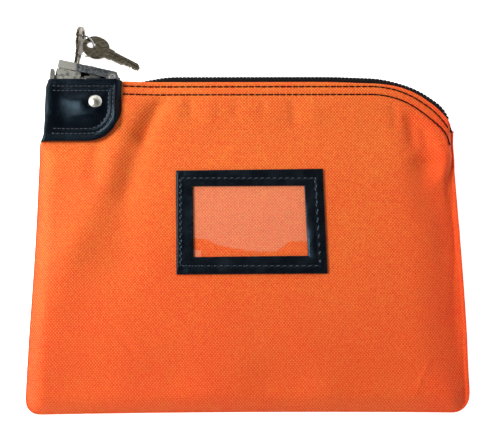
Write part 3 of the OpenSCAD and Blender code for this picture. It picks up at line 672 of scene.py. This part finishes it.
def build_sheet(name, columns, rows, height, fold_sign, node):
    """One canvas panel with its turned hem. height(x, y, left, right, low) is its outer face;
    the hem turns down (fold_sign -1) or up (+1) at the mouth."""
    x0 = -HALF_W + 2 * HALF_W * closer_at_ends(columns, 0.2)
    s = mouth_s_at_x(x0)
    low, high = low_y(x0), top_y(x0)
    t = closer_at_ends(rows, 0.25)
    top_z = height(x0, high, x0 + HALF_W, HALF_W - x0, high - low)
    room = np.clip(np.abs(top_z - SEAM_Z) * 0.4, 0.02, FOLD_R)
    fold_r = np.where(x0 < UNDER_LEATHER_X, LEATHER_FOLD_R, room)
    normal_x, normal_y = np.sin(mouth_angle(s)), np.cos(mouth_angle(s))
    past = x0 > END_2[0] - 0.5
    normal_x = np.where(past, END_NORMAL[0], normal_x)
    normal_y = np.where(past, END_NORMAL[1], normal_y)
    face_y = low[:, None] + (high - fold_r * normal_y - low)[:, None] * t[None]
    face_x = x0[:, None] - (fold_r * normal_x)[:, None] * t[None] ** 6
    wide = np.broadcast_to(x0[:, None], face_y.shape)
    z = height(wide, face_y, wide + HALF_W, HALF_W - wide, face_y - low[:, None])
    points = [np.stack([face_x, face_y, z], axis=2)]
    end_z = z[:, -1]
    for k in range(1, FOLD_STEPS + 1):
        a = math.pi * k / FOLD_STEPS
        out = fold_r * math.sin(a) - fold_r
        points.append(np.stack([x0 + out * normal_x, high + out * normal_y,
                                end_z + fold_sign * fold_r * (1 - math.cos(a))], axis=1)[:, None])
    for k in range(1, INNER_STEPS + 1):
        inset = HEM_DEPTH * smooth((HEM_END_X - x0) / 10) * k / INNER_STEPS + fold_r
        x, y = x0 - inset * normal_x, high - inset * normal_y
        base = height(x, y, x + HALF_W, HALF_W - x, y - low_y(x))
        points.append(np.stack([x, y, base + fold_sign * 2 * fold_r], axis=1)[:, None])
    grid = np.concatenate(points, axis=1)
    grid[..., 0] += edge_pull(grid[..., 0], grid[..., 1])
    piece = mesh_piece(name, grid.reshape(-1, 3), grid_faces(columns, grid.shape[1], fold_sign > 0),
                       CANVAS, "canvas", node)
    solidify(piece, CLOTH_T)
    return piece


def back_height(x, y, left, right, low):
    """The back lies on the table and curls up to the side seams."""
    _, depth = mouth_place(x, y)
    near = np.minimum(np.minimum(left, right), low)
    curl = seam_height(x, y) * (1 - roll(near, 4.0 + 5 * smooth((x - 80) / 50)))
    rise = smooth((near - 4) / 14) * smooth((depth - 9) / 12)
    return 0.06 + curl + rise * 0.5 * np.square(waves(x, y, 46, 11))


front = build_sheet("canvas_front", columns=330, rows=262, height=front_height, fold_sign=-1,
                    node="front_panel")
back = build_sheet("canvas_back", columns=170, rows=120, height=back_height, fold_sign=1,
                   node="back_panel")

# ---------- Leather corner ----------

LEATHER_BOX = box_mm("leather_front")
LEATHER_X0, LEATHER_X1 = -133.5, LEATHER_BOX[1][0] + 1.2
LEATHER_Y0, LEATHER_Y1 = LEATHER_BOX[0][1] - 1.4, LEATHER_BOX[1][1]
LEATHER_LOW_Z = 10.3
LEATHER_TOP_Z = 17.8
LEATHER_R = 21.0
LEATHER_T = 0.9
SHOULDER_R = 3.2
HEEL_R = 1.6
SIDE_BULGE = 0.55
CENTRE_X, CENTRE_Y = LEATHER_X1 - LEATHER_R, LEATHER_Y0 + LEATHER_R
STITCH_INSETS = (4.9, 7.9)
RIVET_X, RIVET_Y = -100.1, 87.8


def leather_left(y):
    """The leather's left side flares towards the bottom."""
    flare = 1.6 * smooth((80 - y) / 14) + 2.0 * smooth((68.5 - y) / 6)
    return LEATHER_X0 - flare + 1.2 * smooth((y - 98) / 5.5)


def leather_top(x, y):
    """The leather lies over the lock, and steps down to the canvas at its right side."""
    low = LEATHER_LOW_Z + 1.6 * smooth((y - 86) / 9) + beside_lock(x, y)
    lift = (1 - smooth((x + 87.2) / 5.0)) * smooth((y - 58) / 27)
    return low + (LEATHER_TOP_Z - low) * lift


def corner_distance(x, y):
    """Distance inside the leather's free edges: right side, rounded corner and bottom."""
    in_corner = (x > CENTRE_X) & (y < CENTRE_Y)
    return np.where(in_corner, LEATHER_R - np.hypot(x - CENTRE_X, y - CENTRE_Y),
                    np.minimum(LEATHER_X1 - x, y - LEATHER_Y0))


def leather_relief(x, y):
    """Stitch grooves with puffed leather between them, and the shape pressed in by the lock."""
    edge = np.minimum(corner_distance(x, y), LEATHER_Y1 - y)
    z = 0.0
    for inset in STITCH_INSETS:
        z = z - 0.22 * bell((edge - inset) / 0.5)
    z = z + 0.06 * bell((edge - 6.4) / 0.9) + 0.10 * bell((edge - 2.6) / 1.6)
    panel = smooth((edge - 8.4) / 8)
    crown = 1.3 * smooth((y - 79) / 14) * smooth((x + 124) / 9) * smooth((-102 - x) / 8)
    lean = (y - 83.7) * 0.2
    step = smooth((x - lean + 119.5) / 16) * smooth((-88.5 - x) / 9)
    rivet = -1.4 * bell(np.hypot(x - RIVET_X, y - RIVET_Y) / 5.6)
    dip = -0.95 * smooth((x - LEATHER_X0) / 14)
    dip = dip + 0.5 * smooth((y - 95.5) / 8) * smooth((edge - 0.5) / 3)
    z = z + smooth((edge - 1) / 7) * dip + panel * (2.0 * step + crown + rivet)
    return z + 0.08 * waves(x, y, 11, 21) + 0.14 * waves(x, y, 26, 22)


def build_leather():
    """The wrap in columns that run up its front: over the top from the right, round the left
    side and back under the bag."""
    rows = 74
    t = np.linspace(0, 1, rows)
    columns = []

    def low_edge(x):
        inside = np.clip(x - CENTRE_X, 0, LEATHER_R)
        return CENTRE_Y - np.sqrt(LEATHER_R**2 - inside**2)

    def flat_x(y):
        return leather_left(y) + SHOULDER_R

    def column(x_of_y, z_of_xy, near_x, relief=0.0):
        """near_x, about the column's x, says how low it starts."""
        start = float(low_edge(near_x))
        y = start + (LEATHER_Y1 - start) * t
        x = x_of_y(y)
        z = z_of_xy(x, y)
        if relief:
            z = z + relief * leather_relief(x, y)
        columns.append(np.stack([x, y, z], axis=1))

    for u in np.linspace(0, 1, 96):
        share = u**1.9
        column(lambda y: LEATHER_X1 + (flat_x(y) - LEATHER_X1) * share, leather_top,
               LEATHER_X1 + (LEATHER_X0 + 2.4 - LEATHER_X1) * share,
               smooth((1 - u) / 0.06) if u > 0.94 else 1.0)
    for a in np.linspace(0, math.pi / 2, 12)[1:]:
        column(lambda y: flat_x(y) - SHOULDER_R * math.sin(a),
               lambda x, y: leather_top(x, y) - SHOULDER_R * (1 - math.cos(a)), LEATHER_X0)
    for u in np.linspace(0, 1, 14)[1:]:
        column(lambda y: leather_left(y) - SIDE_BULGE * math.sin(math.pi * u),
               lambda x, y: (leather_top(x, y) - SHOULDER_R) * (1 - u) + HEEL_R * u, LEATHER_X0)
    for a in np.linspace(0, math.pi / 2, 7)[1:]:
        column(lambda y: leather_left(y) + HEEL_R * (1 - math.cos(a)),
               lambda x, y: HEEL_R * (1 - math.sin(a)) + 0 * y, LEATHER_X0)
    back_x = LEATHER_X0 - 0.5
    for u in np.linspace(0, 1, 40)[1:]:
        column(lambda y: leather_left(y) + HEEL_R + (LEATHER_X1 - leather_left(y) - HEEL_R) * u,
               lambda x, y: 0.02 + 0 * y, back_x + (LEATHER_X1 - back_x) * u)
    grid = np.stack(columns)
    piece = mesh_piece("leather_wrap", grid.reshape(-1, 3), grid_faces(len(grid), rows, True),
                       LEATHER, "leather", "leather_front", "leather_back")
    solidify(piece, LEATHER_T)


build_leather()

# ---------- Zip ----------

ZIP_END_S = S_END - 0.8
TAPE_START_S = -84.5 - CURVE_X
TEETH_START_S = -98.5 - CURVE_X


def zip_tuck(s):
    """How far the zip moves out and up: at both ends it sinks in and down behind the hem, and
    round the curve it is drawn in."""
    start = 1 - smooth((s + CURVE_X + 88) / 40)
    curve = mouth_dip(s) + 1.3 * smooth((s + 2) / 26)
    end = smooth((s - S_END + 18) / 20)
    return -4.4 * start - curve - 2.9 * end, -2.0 * start - 0.9 * end


# Cross-sections of the tapes: distance beyond the mouth's fold, and height
FRONT_TAPE = [(-9.5, 8.75), (-6, 8.75), (-2, 8.8), (0.4, 8.95), (1.3, 9.15), (1.9, 9.5),
              (2.15, 9.9), (2.2, 10.15), (1.95, 10.2), (1.7, 9.9), (1.2, 9.55), (0.2, 9.35),
              (-2, 9.2), (-9.5, 9.1)]
BACK_TAPE = [(-9.5, 2.3), (-4, 2.3), (0.2, 2.35), (1.3, 2.6), (1.95, 3.2), (2.2, 4.2), (2.25, 6.0),
             (2.2, 7.0), (1.85, 7.0), (1.8, 6.0), (1.75, 4.3), (1.5, 3.5), (0.9, 3.05), (0.0, 2.8),
             (-4, 2.7), (-9.5, 2.7)]


def build_tape(name, section, node):
    s = np.concatenate([np.linspace(TAPE_START_S, 0, 120), np.linspace(0, S_END + 2.6, 94)[1:]])
    tuck, sink = zip_tuck(s)
    points = []
    for d, z in section:
        x, y = mouth_at(s, d + tuck + 0.06 * waves(s, 0 * s, 9, 31))
        points.append(np.stack([x, y, z + sink + 0.12 * waves(s, d + 0 * s, 14, 32)], axis=1))
    n = len(section)
    faces = [(i * n + k, i * n + (k + 1) % n, (i + 1) * n + (k + 1) % n, (i + 1) * n + k)
             for i in range(len(s) - 1) for k in range(n)]
    faces.append(tuple(range(n))[::-1])
    faces.append(tuple((len(s) - 1) * n + k for k in range(n)))
    mesh_piece(name, np.stack(points, axis=1).reshape(-1, 3), faces, ZIP_TAPE, "zip_tape", node)


build_tape("zip_tape_front", FRONT_TAPE, "zipper_tape_front")
build_tape("zip_tape_back", BACK_TAPE, "zipper_tape_back")


def rounded_block(size, chamfer):
    """Points and faces of a block with softened edges, centred on the origin."""
    half = np.array(size) / 2
    corners = [(i, j, k) for i in (-1, 1) for j in (-1, 1) for k in (-1, 1)]
    points = [corner * np.where(np.arange(3) == a, half, half - chamfer)
              for corner in corners for a in range(3)]

    def index(a, signs, face):
        """A corner's point on a face, from the corner's signs along axis a and the next two."""
        return 3 * int((np.roll(signs, a) > 0) @ (4, 2, 1)) + face

    faces = []
    for a in range(3):
        for side in (-1, 1):
            loop = [index(a, (side, u, v), a) for u, v in ((-1, -1), (1, -1), (1, 1), (-1, 1))]
            faces.append(tuple(loop[::side]))
    for a in range(3):
        b, c = (a + 1) % 3, (a + 2) % 3
        for u in (-1, 1):
            for v in (-1, 1):
                ends = ((-1, b), (1, b), (1, c), (-1, c))
                loop = [index(a, (end, u, v), face) for end, face in ends]
                faces.append(tuple(loop[::u * v]))
    for corner in corners:
        loop = [index(0, corner, a) for a in range(3)]
        faces.append(tuple(loop[::math.prod(corner)]))
    return np.array(points), faces


TOOTH_PITCH = 2.54
TOOTH_IN = 1.5
TOOTH_CHAMFER = 0.24


def on_mouth(block, s, out, z):
    """A block's points turned along the mouth at arc length s, and moved out and up."""
    a = float(mouth_angle(np.array(s)))
    tuck, sink = zip_tuck(s)
    x, y = mouth_at(s, out + tuck)
    turn = np.array([[math.cos(a), math.sin(a)], [-math.sin(a), math.cos(a)]])
    placed = block.copy()
    placed[:, :2] = placed[:, :2] @ turn.T
    return placed + np.array([x, y, z + sink])


def build_teeth(name, shift, outer, z_root, z_tip, node):
    """Moulded teeth: a wide clamp on the tape, and a narrow head between its neighbours'."""
    depth = outer - TOOTH_IN
    z_grip = z_root + (z_tip - z_root) * 0.46
    overlap = 0.2 if z_tip > z_root else -0.2
    clamp = rounded_block((2.34, depth, abs(z_grip - z_root)), TOOTH_CHAMFER)
    head = rounded_block((1.12, depth - 0.3, abs(z_tip - z_grip) + 0.4), TOOTH_CHAMFER)
    parts = (*clamp, (z_root + z_grip) / 2), (*head, (z_grip + z_tip) / 2 - overlap)
    points, faces = [], []
    for k in range(int((ZIP_END_S - TEETH_START_S - 2.2) / TOOTH_PITCH)):
        s = TEETH_START_S + shift + k * TOOTH_PITCH
        for block, block_faces, z in parts:
            start = len(points) * len(block)
            points.append(on_mouth(block, s, (TOOTH_IN + outer) / 2, z))
            faces += [tuple(start + i for i in f) for f in block_faces]
    mesh_piece(name, np.concatenate(points), faces, ZIP_TOOTH, "zip_teeth", node,
               smooth_shade=False)


build_teeth("zip_teeth_front", 0.0, 3.95, 10.2, 7.45, "zipper_teeth_front")
build_teeth("zip_teeth_back", TOOTH_PITCH / 2, 4.15, 6.0, 8.9, "zipper_teeth_back")

# The moulded block that ends the zip
stop_points, stop_faces = rounded_block((2.6, 1.5, 3.0), 0.45)
mesh_piece("zip_bottom_stop", on_mouth(stop_points, ZIP_END_S, 0.9, 8.2), stop_faces, ZIP_TOOTH,
           "zip_teeth", "zipper_bottom_stop", smooth_shade=False)

# ---------- Card window ----------

# Outer and inner corners of the frame: top left, top right, bottom right, bottom left
FRAME_OUTER = np.array([(-47.3, 43.3), (48.9, 44.3), (50.3, -24.4), (-45.8, -24.7)])
FRAME_INNER = np.array([(-36.2, 32.8), (36.6, 33.0), (38.1, -13.0), (-35.1, -13.6)])
SEWN_LINE = np.array([(-44.4, 38.2), (43.4, 37.9), (45.5, -19.5), (-43.5, -19.2)])
FRAME_Z = box_mm("window_frame")[1][2]
FRAME_STEPS = 150
VINYL_Z, VINYL_T = 8.93, 0.3


def sides_of(corners):
    """The two ends of each side of a four-sided loop."""
    return list(zip(corners, np.roll(corners, -1, axis=0)))


def around(corners):
    """Points round a four-sided loop, FRAME_STEPS on each side."""
    return np.array([a + (b - a) * i / FRAME_STEPS
                     for a, b in sides_of(corners) for i in range(FRAME_STEPS)])


# Sewn pitch of the frame's top, right, bottom and left side
SEWN_PITCH = (4.0, 5.4, 4.1, 4.05)
# Raised parts of the binding: start, end, half width, height
FRAME_PUFFS = [
    ((41.4, 20), (42.2, -13), 3.3, 0.42),
    ((41.9, 2), (42.6, -15), 3.3, 0.48),
    ((38, -17.0), (42, -17.6), 3.0, 0.35),
    ((-45.6, 41), (-44.9, -20), 1.7, 0.60),
    ((-40, 41.3), (36, 41.3), 2.0, 0.22),
    ((-38, -22.3), (44, -22.0), 1.8, 0.25),
]


def to_segment(p, a, b):
    """Distance of points from a segment, and the length along it."""
    along = (b - a) / np.linalg.norm(b - a)
    t = np.clip((p - a) @ along, 0, np.linalg.norm(b - a))
    return np.linalg.norm(p - a - t[:, None] * along, axis=1), t


def frame_relief(p):
    """The binding dips along the seam, most at the needle holes, and puffs up beside it."""
    sides = [to_segment(p, a, b) for a, b in sides_of(SEWN_LINE)]
    near = np.argmin([d for d, _ in sides], axis=0)
    d = np.choose(near, [d for d, _ in sides])
    run = np.choose(near, [t for _, t in sides])
    pitch = np.array(SEWN_PITCH)[near]
    hole = (0.5 + 0.5 * np.cos(math.tau * run / pitch)) ** 2
    z = 0.16 * bell(d / 2.6) - 0.22 * bell(d / 0.7) - 0.55 * hole * bell(d / 0.55)
    for start, end, half_width, height in FRAME_PUFFS:
        away, _ = to_segment(p, np.array(start, float), np.array(end, float))
        z = z + height * bell(away / half_width)
    return z + 0.16 * waves(p[:, 0], p[:, 1], 17, 41)


def build_window_frame():
    """The binding, from its outer edge to its inner one: share of the way across, and drop."""
    outer, inner = around(FRAME_OUTER), around(FRAME_INNER)
    flat = np.linspace(0.07, 0.93, 34)
    across = np.concatenate([[0, 0, 0.006, 0.02, 0.05], flat, [0.95, 0.98, 0.994, 1, 1]])
    drop = np.concatenate([[1.45, 0.42, 0.16, 0.05, 0.0], 0 * flat, [0.0, 0.05, 0.16, 0.42, 1.3]])
    points = []
    for share, down in zip(across, drop):
        p = outer + (inner - outer) * share
        mid = smooth(share / 0.12) * smooth((1 - share) / 0.12)
        z = FRAME_Z - down + mid * frame_relief(p)
        points.append(np.stack([p[:, 0], p[:, 1], z], axis=1))
    mesh_piece("window_binding", np.stack(points, axis=1).reshape(-1, 3),
               grid_faces(len(outer), len(across), flip=True, around=True), FRAME_VINYL,
               "frame_tape", "window_frame")


build_window_frame()


def window_places():
    """Stitches along the sewn line, each lying a little askew."""
    found = []
    for (a, b), pitch in zip(sides_of(SEWN_LINE), SEWN_PITCH):
        n = round(np.linalg.norm(b - a) / pitch)
        turned = math.atan2(b[1] - a[1], b[0] - a[0]) + 0.22
        direction = (math.cos(turned), math.sin(turned), 0)
        for i in range(n):
            p = a + (b - a) * (i + 0.5) / n
            z = FRAME_Z + 0.04 + float(frame_relief(p[None])[0])
            found.append(((*p, z), direction, (0, 0, 1)))
    return found


stitches("window_thread", window_places(), length=1.9, radius=0.27, material=THREAD_GREY,
         slot="thread_grey", node="window_stitches", rise=0.22)


def vinyl_material():
    """Clear soft vinyl, hazy where it stands off the cloth and clear where it clings to it."""
    p = Paint("clear_vinyl", Roughness=0.16, IOR=1.5, Specular_IOR_Level=0.5)
    x_mm, y_mm = p.times(p.axis(0), 1 / MM), p.times(p.axis(1), 1 / MM)
    left_rise = p.ramp(x_mm, -30.0, -16.0, 5.0, 0.0)
    right_rise = p.ramp(x_mm, 16.0, 28.0, 0.0, 6.6)
    fall = p.ramp(x_mm, -20.0, 8.0, 0.0, -3.6)
    edge = p.plus(p.plus(left_rise, right_rise), p.plus(fall, -6.6))
    rough_edge = p.plus(edge, p.times(p.minus(p.noise(4, 3), 0.5), 2.4))
    stands_off = p.ramp(p.minus(y_mm, rough_edge), -0.25, 0.25)
    bubble = p.times(p.ramp(x_mm, -30.6, -30.1, 1.0, 0.0), p.ramp(y_mm, -9.2, -8.8, 1.0, 0.0))
    haze = p.math("MAXIMUM", stands_off, bubble)
    return p.set(Base_Color=(0.80, 0.50, 0.33, 1.0), Alpha=p.plus(p.times(haze, 0.10), 0.003),
                 Normal=p.bump(p.noise(9, 2), 0.25, 0.25))


def build_vinyl():
    """The clear sheet, sewn in under the binding."""
    n, under = 60, 4.0
    u, v = np.meshgrid(np.linspace(0, 1, n), np.linspace(0, 1, n), indexing="ij")
    (x0, y0), (x1, y1) = FRAME_INNER.min(axis=0) - under, FRAME_INNER.max(axis=0) + under
    x, y = x0 + (x1 - x0) * u, y0 + (y1 - y0) * v
    z = VINYL_Z + 0.07 * waves(x, y, 24, 51)
    piece = mesh_piece("card_window_vinyl", np.stack([x, y, z], axis=2).reshape(-1, 3),
                       grid_faces(n, n), vinyl_material(), "vinyl", "window_vinyl")
    solidify(piece, VINYL_T)


build_vinyl()

# ---------- Stitching on the canvas and leather ----------


def hem_places():
    """Stitches of the two rows along the mouth, lying on the front."""
    places = []
    for row, end in ((0, S_END), (1, S_END + 12)):
        s = -81.5 - CURVE_X
        while s < end:
            x, y = mouth_at(s, -hem_row(row, s))
            a = float(mouth_angle(np.array(s)))
            z = float(front_height(x, y, x + HALF_W, HALF_W - x, y - low_y(x)))
            x = float(x + edge_pull(x, y))
            places.append(((x, float(y), z + 0.12), (math.cos(a), -math.sin(a), 0), (0, 0, 1)))
            s += HEM_PITCH
    return places


stitches("hem_thread", hem_places(), length=4.0, radius=0.50, material=THREAD_DARK,
         slot="thread_dark", node="hem_stitches", rise=0.26)


def leather_path(inset):
    """The stitch line inside the leather's edges, from the top left round to the bottom left."""
    top, right, low = LEATHER_Y1 - inset, LEATHER_X1 - inset, LEATHER_Y0 + inset
    radius = LEATHER_R - inset
    line = [(x, top) for x in np.linspace(LEATHER_X0 + 5.0, right, 40)]
    line += [(right, y) for y in np.linspace(top, CENTRE_Y, 24)[1:]]
    line += [(CENTRE_X + radius * math.cos(a), CENTRE_Y - radius * math.sin(a))
             for a in np.linspace(0, math.pi / 2, 16)[1:]]
    line += [(x, low) for x in np.linspace(CENTRE_X, LEATHER_X0 + 4.5, 36)[1:]]
    return np.array(line)


def leather_places(pitch):
    """Stitches of the leather's two rows, leaving out those under the rivet."""
    places = []
    for inset in STITCH_INSETS:
        line = leather_path(inset)
        steps = np.linalg.norm(np.diff(line, axis=0), axis=1)
        run = np.concatenate([[0], np.cumsum(steps)])
        for d in np.arange(pitch / 2, run[-1], pitch):
            x, y = np.interp(d, run, line[:, 0]), np.interp(d, run, line[:, 1])
            ahead = [np.interp(d + 0.3, run, line[:, k]) - q for k, q in ((0, x), (1, y))]
            if np.hypot(*ahead) < 0.05 or np.hypot(x - RIVET_X, y - RIVET_Y) < 5.2:
                continue
            below, here, above = (leather_top(x, q) + leather_relief(x, q)
                                  for q in (y - 0.5, y, y + 0.5))
            slope = above - below
            along = np.array([*ahead, slope * ahead[1]])
            up = np.array([0, -slope, 1.0])
            places.append(((x, y, float(here) + 0.06), along / np.linalg.norm(along),
                           up / np.linalg.norm(up)))
    return places


stitches("leather_thread", leather_places(2.9), length=2.3, radius=0.27, material=THREAD_BLACK,
         slot="thread_black", node="leather_stitches", rise=0.24)

# ---------- Metal parts of the frame: the CAD shapes with softened edges ----------


def soften(node, width):
    """Small rounded edges on a CAD node. Its own mesh stays as it is."""
    weld = nodes[node].modifiers.new("weld", "WELD")
    weld.merge_threshold = 0.002 * MM
    bevel = nodes[node].modifiers.new("edges", "BEVEL")
    bevel.width = width * MM
    bevel.segments = 2
    bevel.limit_method = "ANGLE"
    bevel.angle_limit = math.radians(35)
    bevel.harden_normals = True


# Material, width of the softened edges, and the nodes that have them
METALS = [
    (NICKEL, 0.2, ["lock_frame"]),
    (NICKEL, 0.12, ["housing_cap", "slider_bridge", "zipper_top_stops"]),
    (NICKEL, 0.3, ["slider_body"]),
    (HOOD_METAL, 0.25, ["lock_hood"]),
    (HOUSING_METAL, 0.2, ["cylinder_housing"]),
    (RIVET_METAL, 0, ["rivet_cap"]),
    (STEEL, 0.1, ["slider_hook", "cam_plate"]),
    (STEEL, 0.15, ["latch_bolt"]),
    (STEEL, 0, ["rivet_post", "pivot_pins", "pop_spring", "cap_screws", "pin_springs",
                "cam_screw"]),
    (BRASS, 0.12, ["cylinder_plug"]),
    (BRASS, 0, ["driver_pins", "chamber_strip", "key_pins"]),
    (KEY_METAL, 0.22, ["lock_key", "spare_key"]),
    (RING_STEEL, 0, ["key_ring"]),
]
for material, edge, names in METALS:
    for node in names:
        nodes[node].data.materials.clear()
        nodes[node].data.materials.append(material)
        if edge:
            soften(node, edge)

# ---------- Floor, light and camera ----------


FLOOR_HALF = 3.0
FLOOR_Z = -0.0004


def build_floor():
    """A plain white floor, lit a little from within so that it stays pale."""
    mesh = bpy.data.meshes.new("floor")
    corners = [(-1, -1), (1, -1), (1, 1), (-1, 1)]
    mesh.from_pydata([(FLOOR_HALF * i, FLOOR_HALF * j, FLOOR_Z) for i, j in corners], [],
                     [(0, 1, 2, 3)])
    p = Paint("floor_paint", Roughness=0.7, Emission_Strength=0.8, Emission_Color=(1, 1, 1, 1))
    material = p.set(Base_Color=p.mix(p.noise(60, 3), (0.90, 0.90, 0.90), (0.93, 0.93, 0.93)))
    mesh.materials.append(material)
    scene_object("floor", mesh)


def build_key_light():
    """A soft round lamp high on the left, aimed at the origin."""
    light = bpy.data.lights.new("key_light", "AREA")
    light.shape = "DISK"
    light.size = 0.46
    light.energy = 16.4
    light.color = (1.0, 0.985, 0.96)
    lamp = scene_object("key_light", light)
    lamp.location = (-0.80, 0.20, 0.74)
    lamp.rotation_mode = "QUATERNION"
    lamp.rotation_quaternion = (-lamp.location).to_track_quat("-Z", "Y")


def build_world():
    """Bright round the horizon and dark overhead, and brighter towards the upper left."""
    world = bpy.data.worlds.new("studio")
    world.use_nodes = True
    tree = world.node_tree
    ground = tree.nodes["Background"]
    place = tree.nodes.new("ShaderNodeTexCoord").outputs["Generated"]
    split = tree.nodes.new("ShaderNodeSeparateXYZ")
    tree.links.new(place, split.inputs[0])
    ramp = tree.nodes.new("ShaderNodeValToRGB")
    tree.links.new(split.outputs[2], ramp.inputs[0])
    stops = ramp.color_ramp.elements
    stops[0].color, stops[1].color = (1, 1, 1, 1), (0.05, 0.053, 0.06, 1)
    for position, level in ((0.42, 1.0), (0.66, 0.40), (0.82, 0.07)):
        stops.new(position).color = (level, level, 1.02 * level, 1)
    side = tree.nodes.new("ShaderNodeVectorMath")
    side.operation = "DOT_PRODUCT"
    side.inputs[1].default_value = (-0.75, 0.66, 0.0)
    tree.links.new(place, side.inputs[0])
    level = tree.nodes.new("ShaderNodeMapRange")
    for value, socket in zip((-1.0, 1.0, 0.89, 1.95), list(level.inputs)[1:5]):
        socket.default_value = value
    tree.links.new(side.outputs["Value"], level.inputs[0])
    tree.links.new(ramp.outputs[0], ground.inputs["Color"])
    tree.links.new(level.outputs[0], ground.inputs["Strength"])
    bpy.context.scene.world = world


def build_camera():
    """Camera over the bag's lower half, tilted up towards the zip, as fitted to the photo."""
    tilt, turn, bank = math.radians(-9.853), math.radians(0.3396), math.radians(0.1782)
    to_camera = (Matrix.Rotation(bank, 3, "Z") @ Matrix.Rotation(turn, 3, "Y")
                 @ Matrix.Rotation(tilt, 3, "X"))
    data = bpy.data.cameras.new("camera")
    data.lens = 43.2
    data.sensor_width = 36
    camera = scene_object("camera", data)
    camera.location = (-0.001239, -0.056954, 0.390884)
    camera.rotation_euler = to_camera.transposed().to_euler()
    bpy.context.scene.camera = camera


build_floor()
build_world()
build_camera()
build_key_light()
bpy.context.scene.view_settings.view_transform = "Standard"
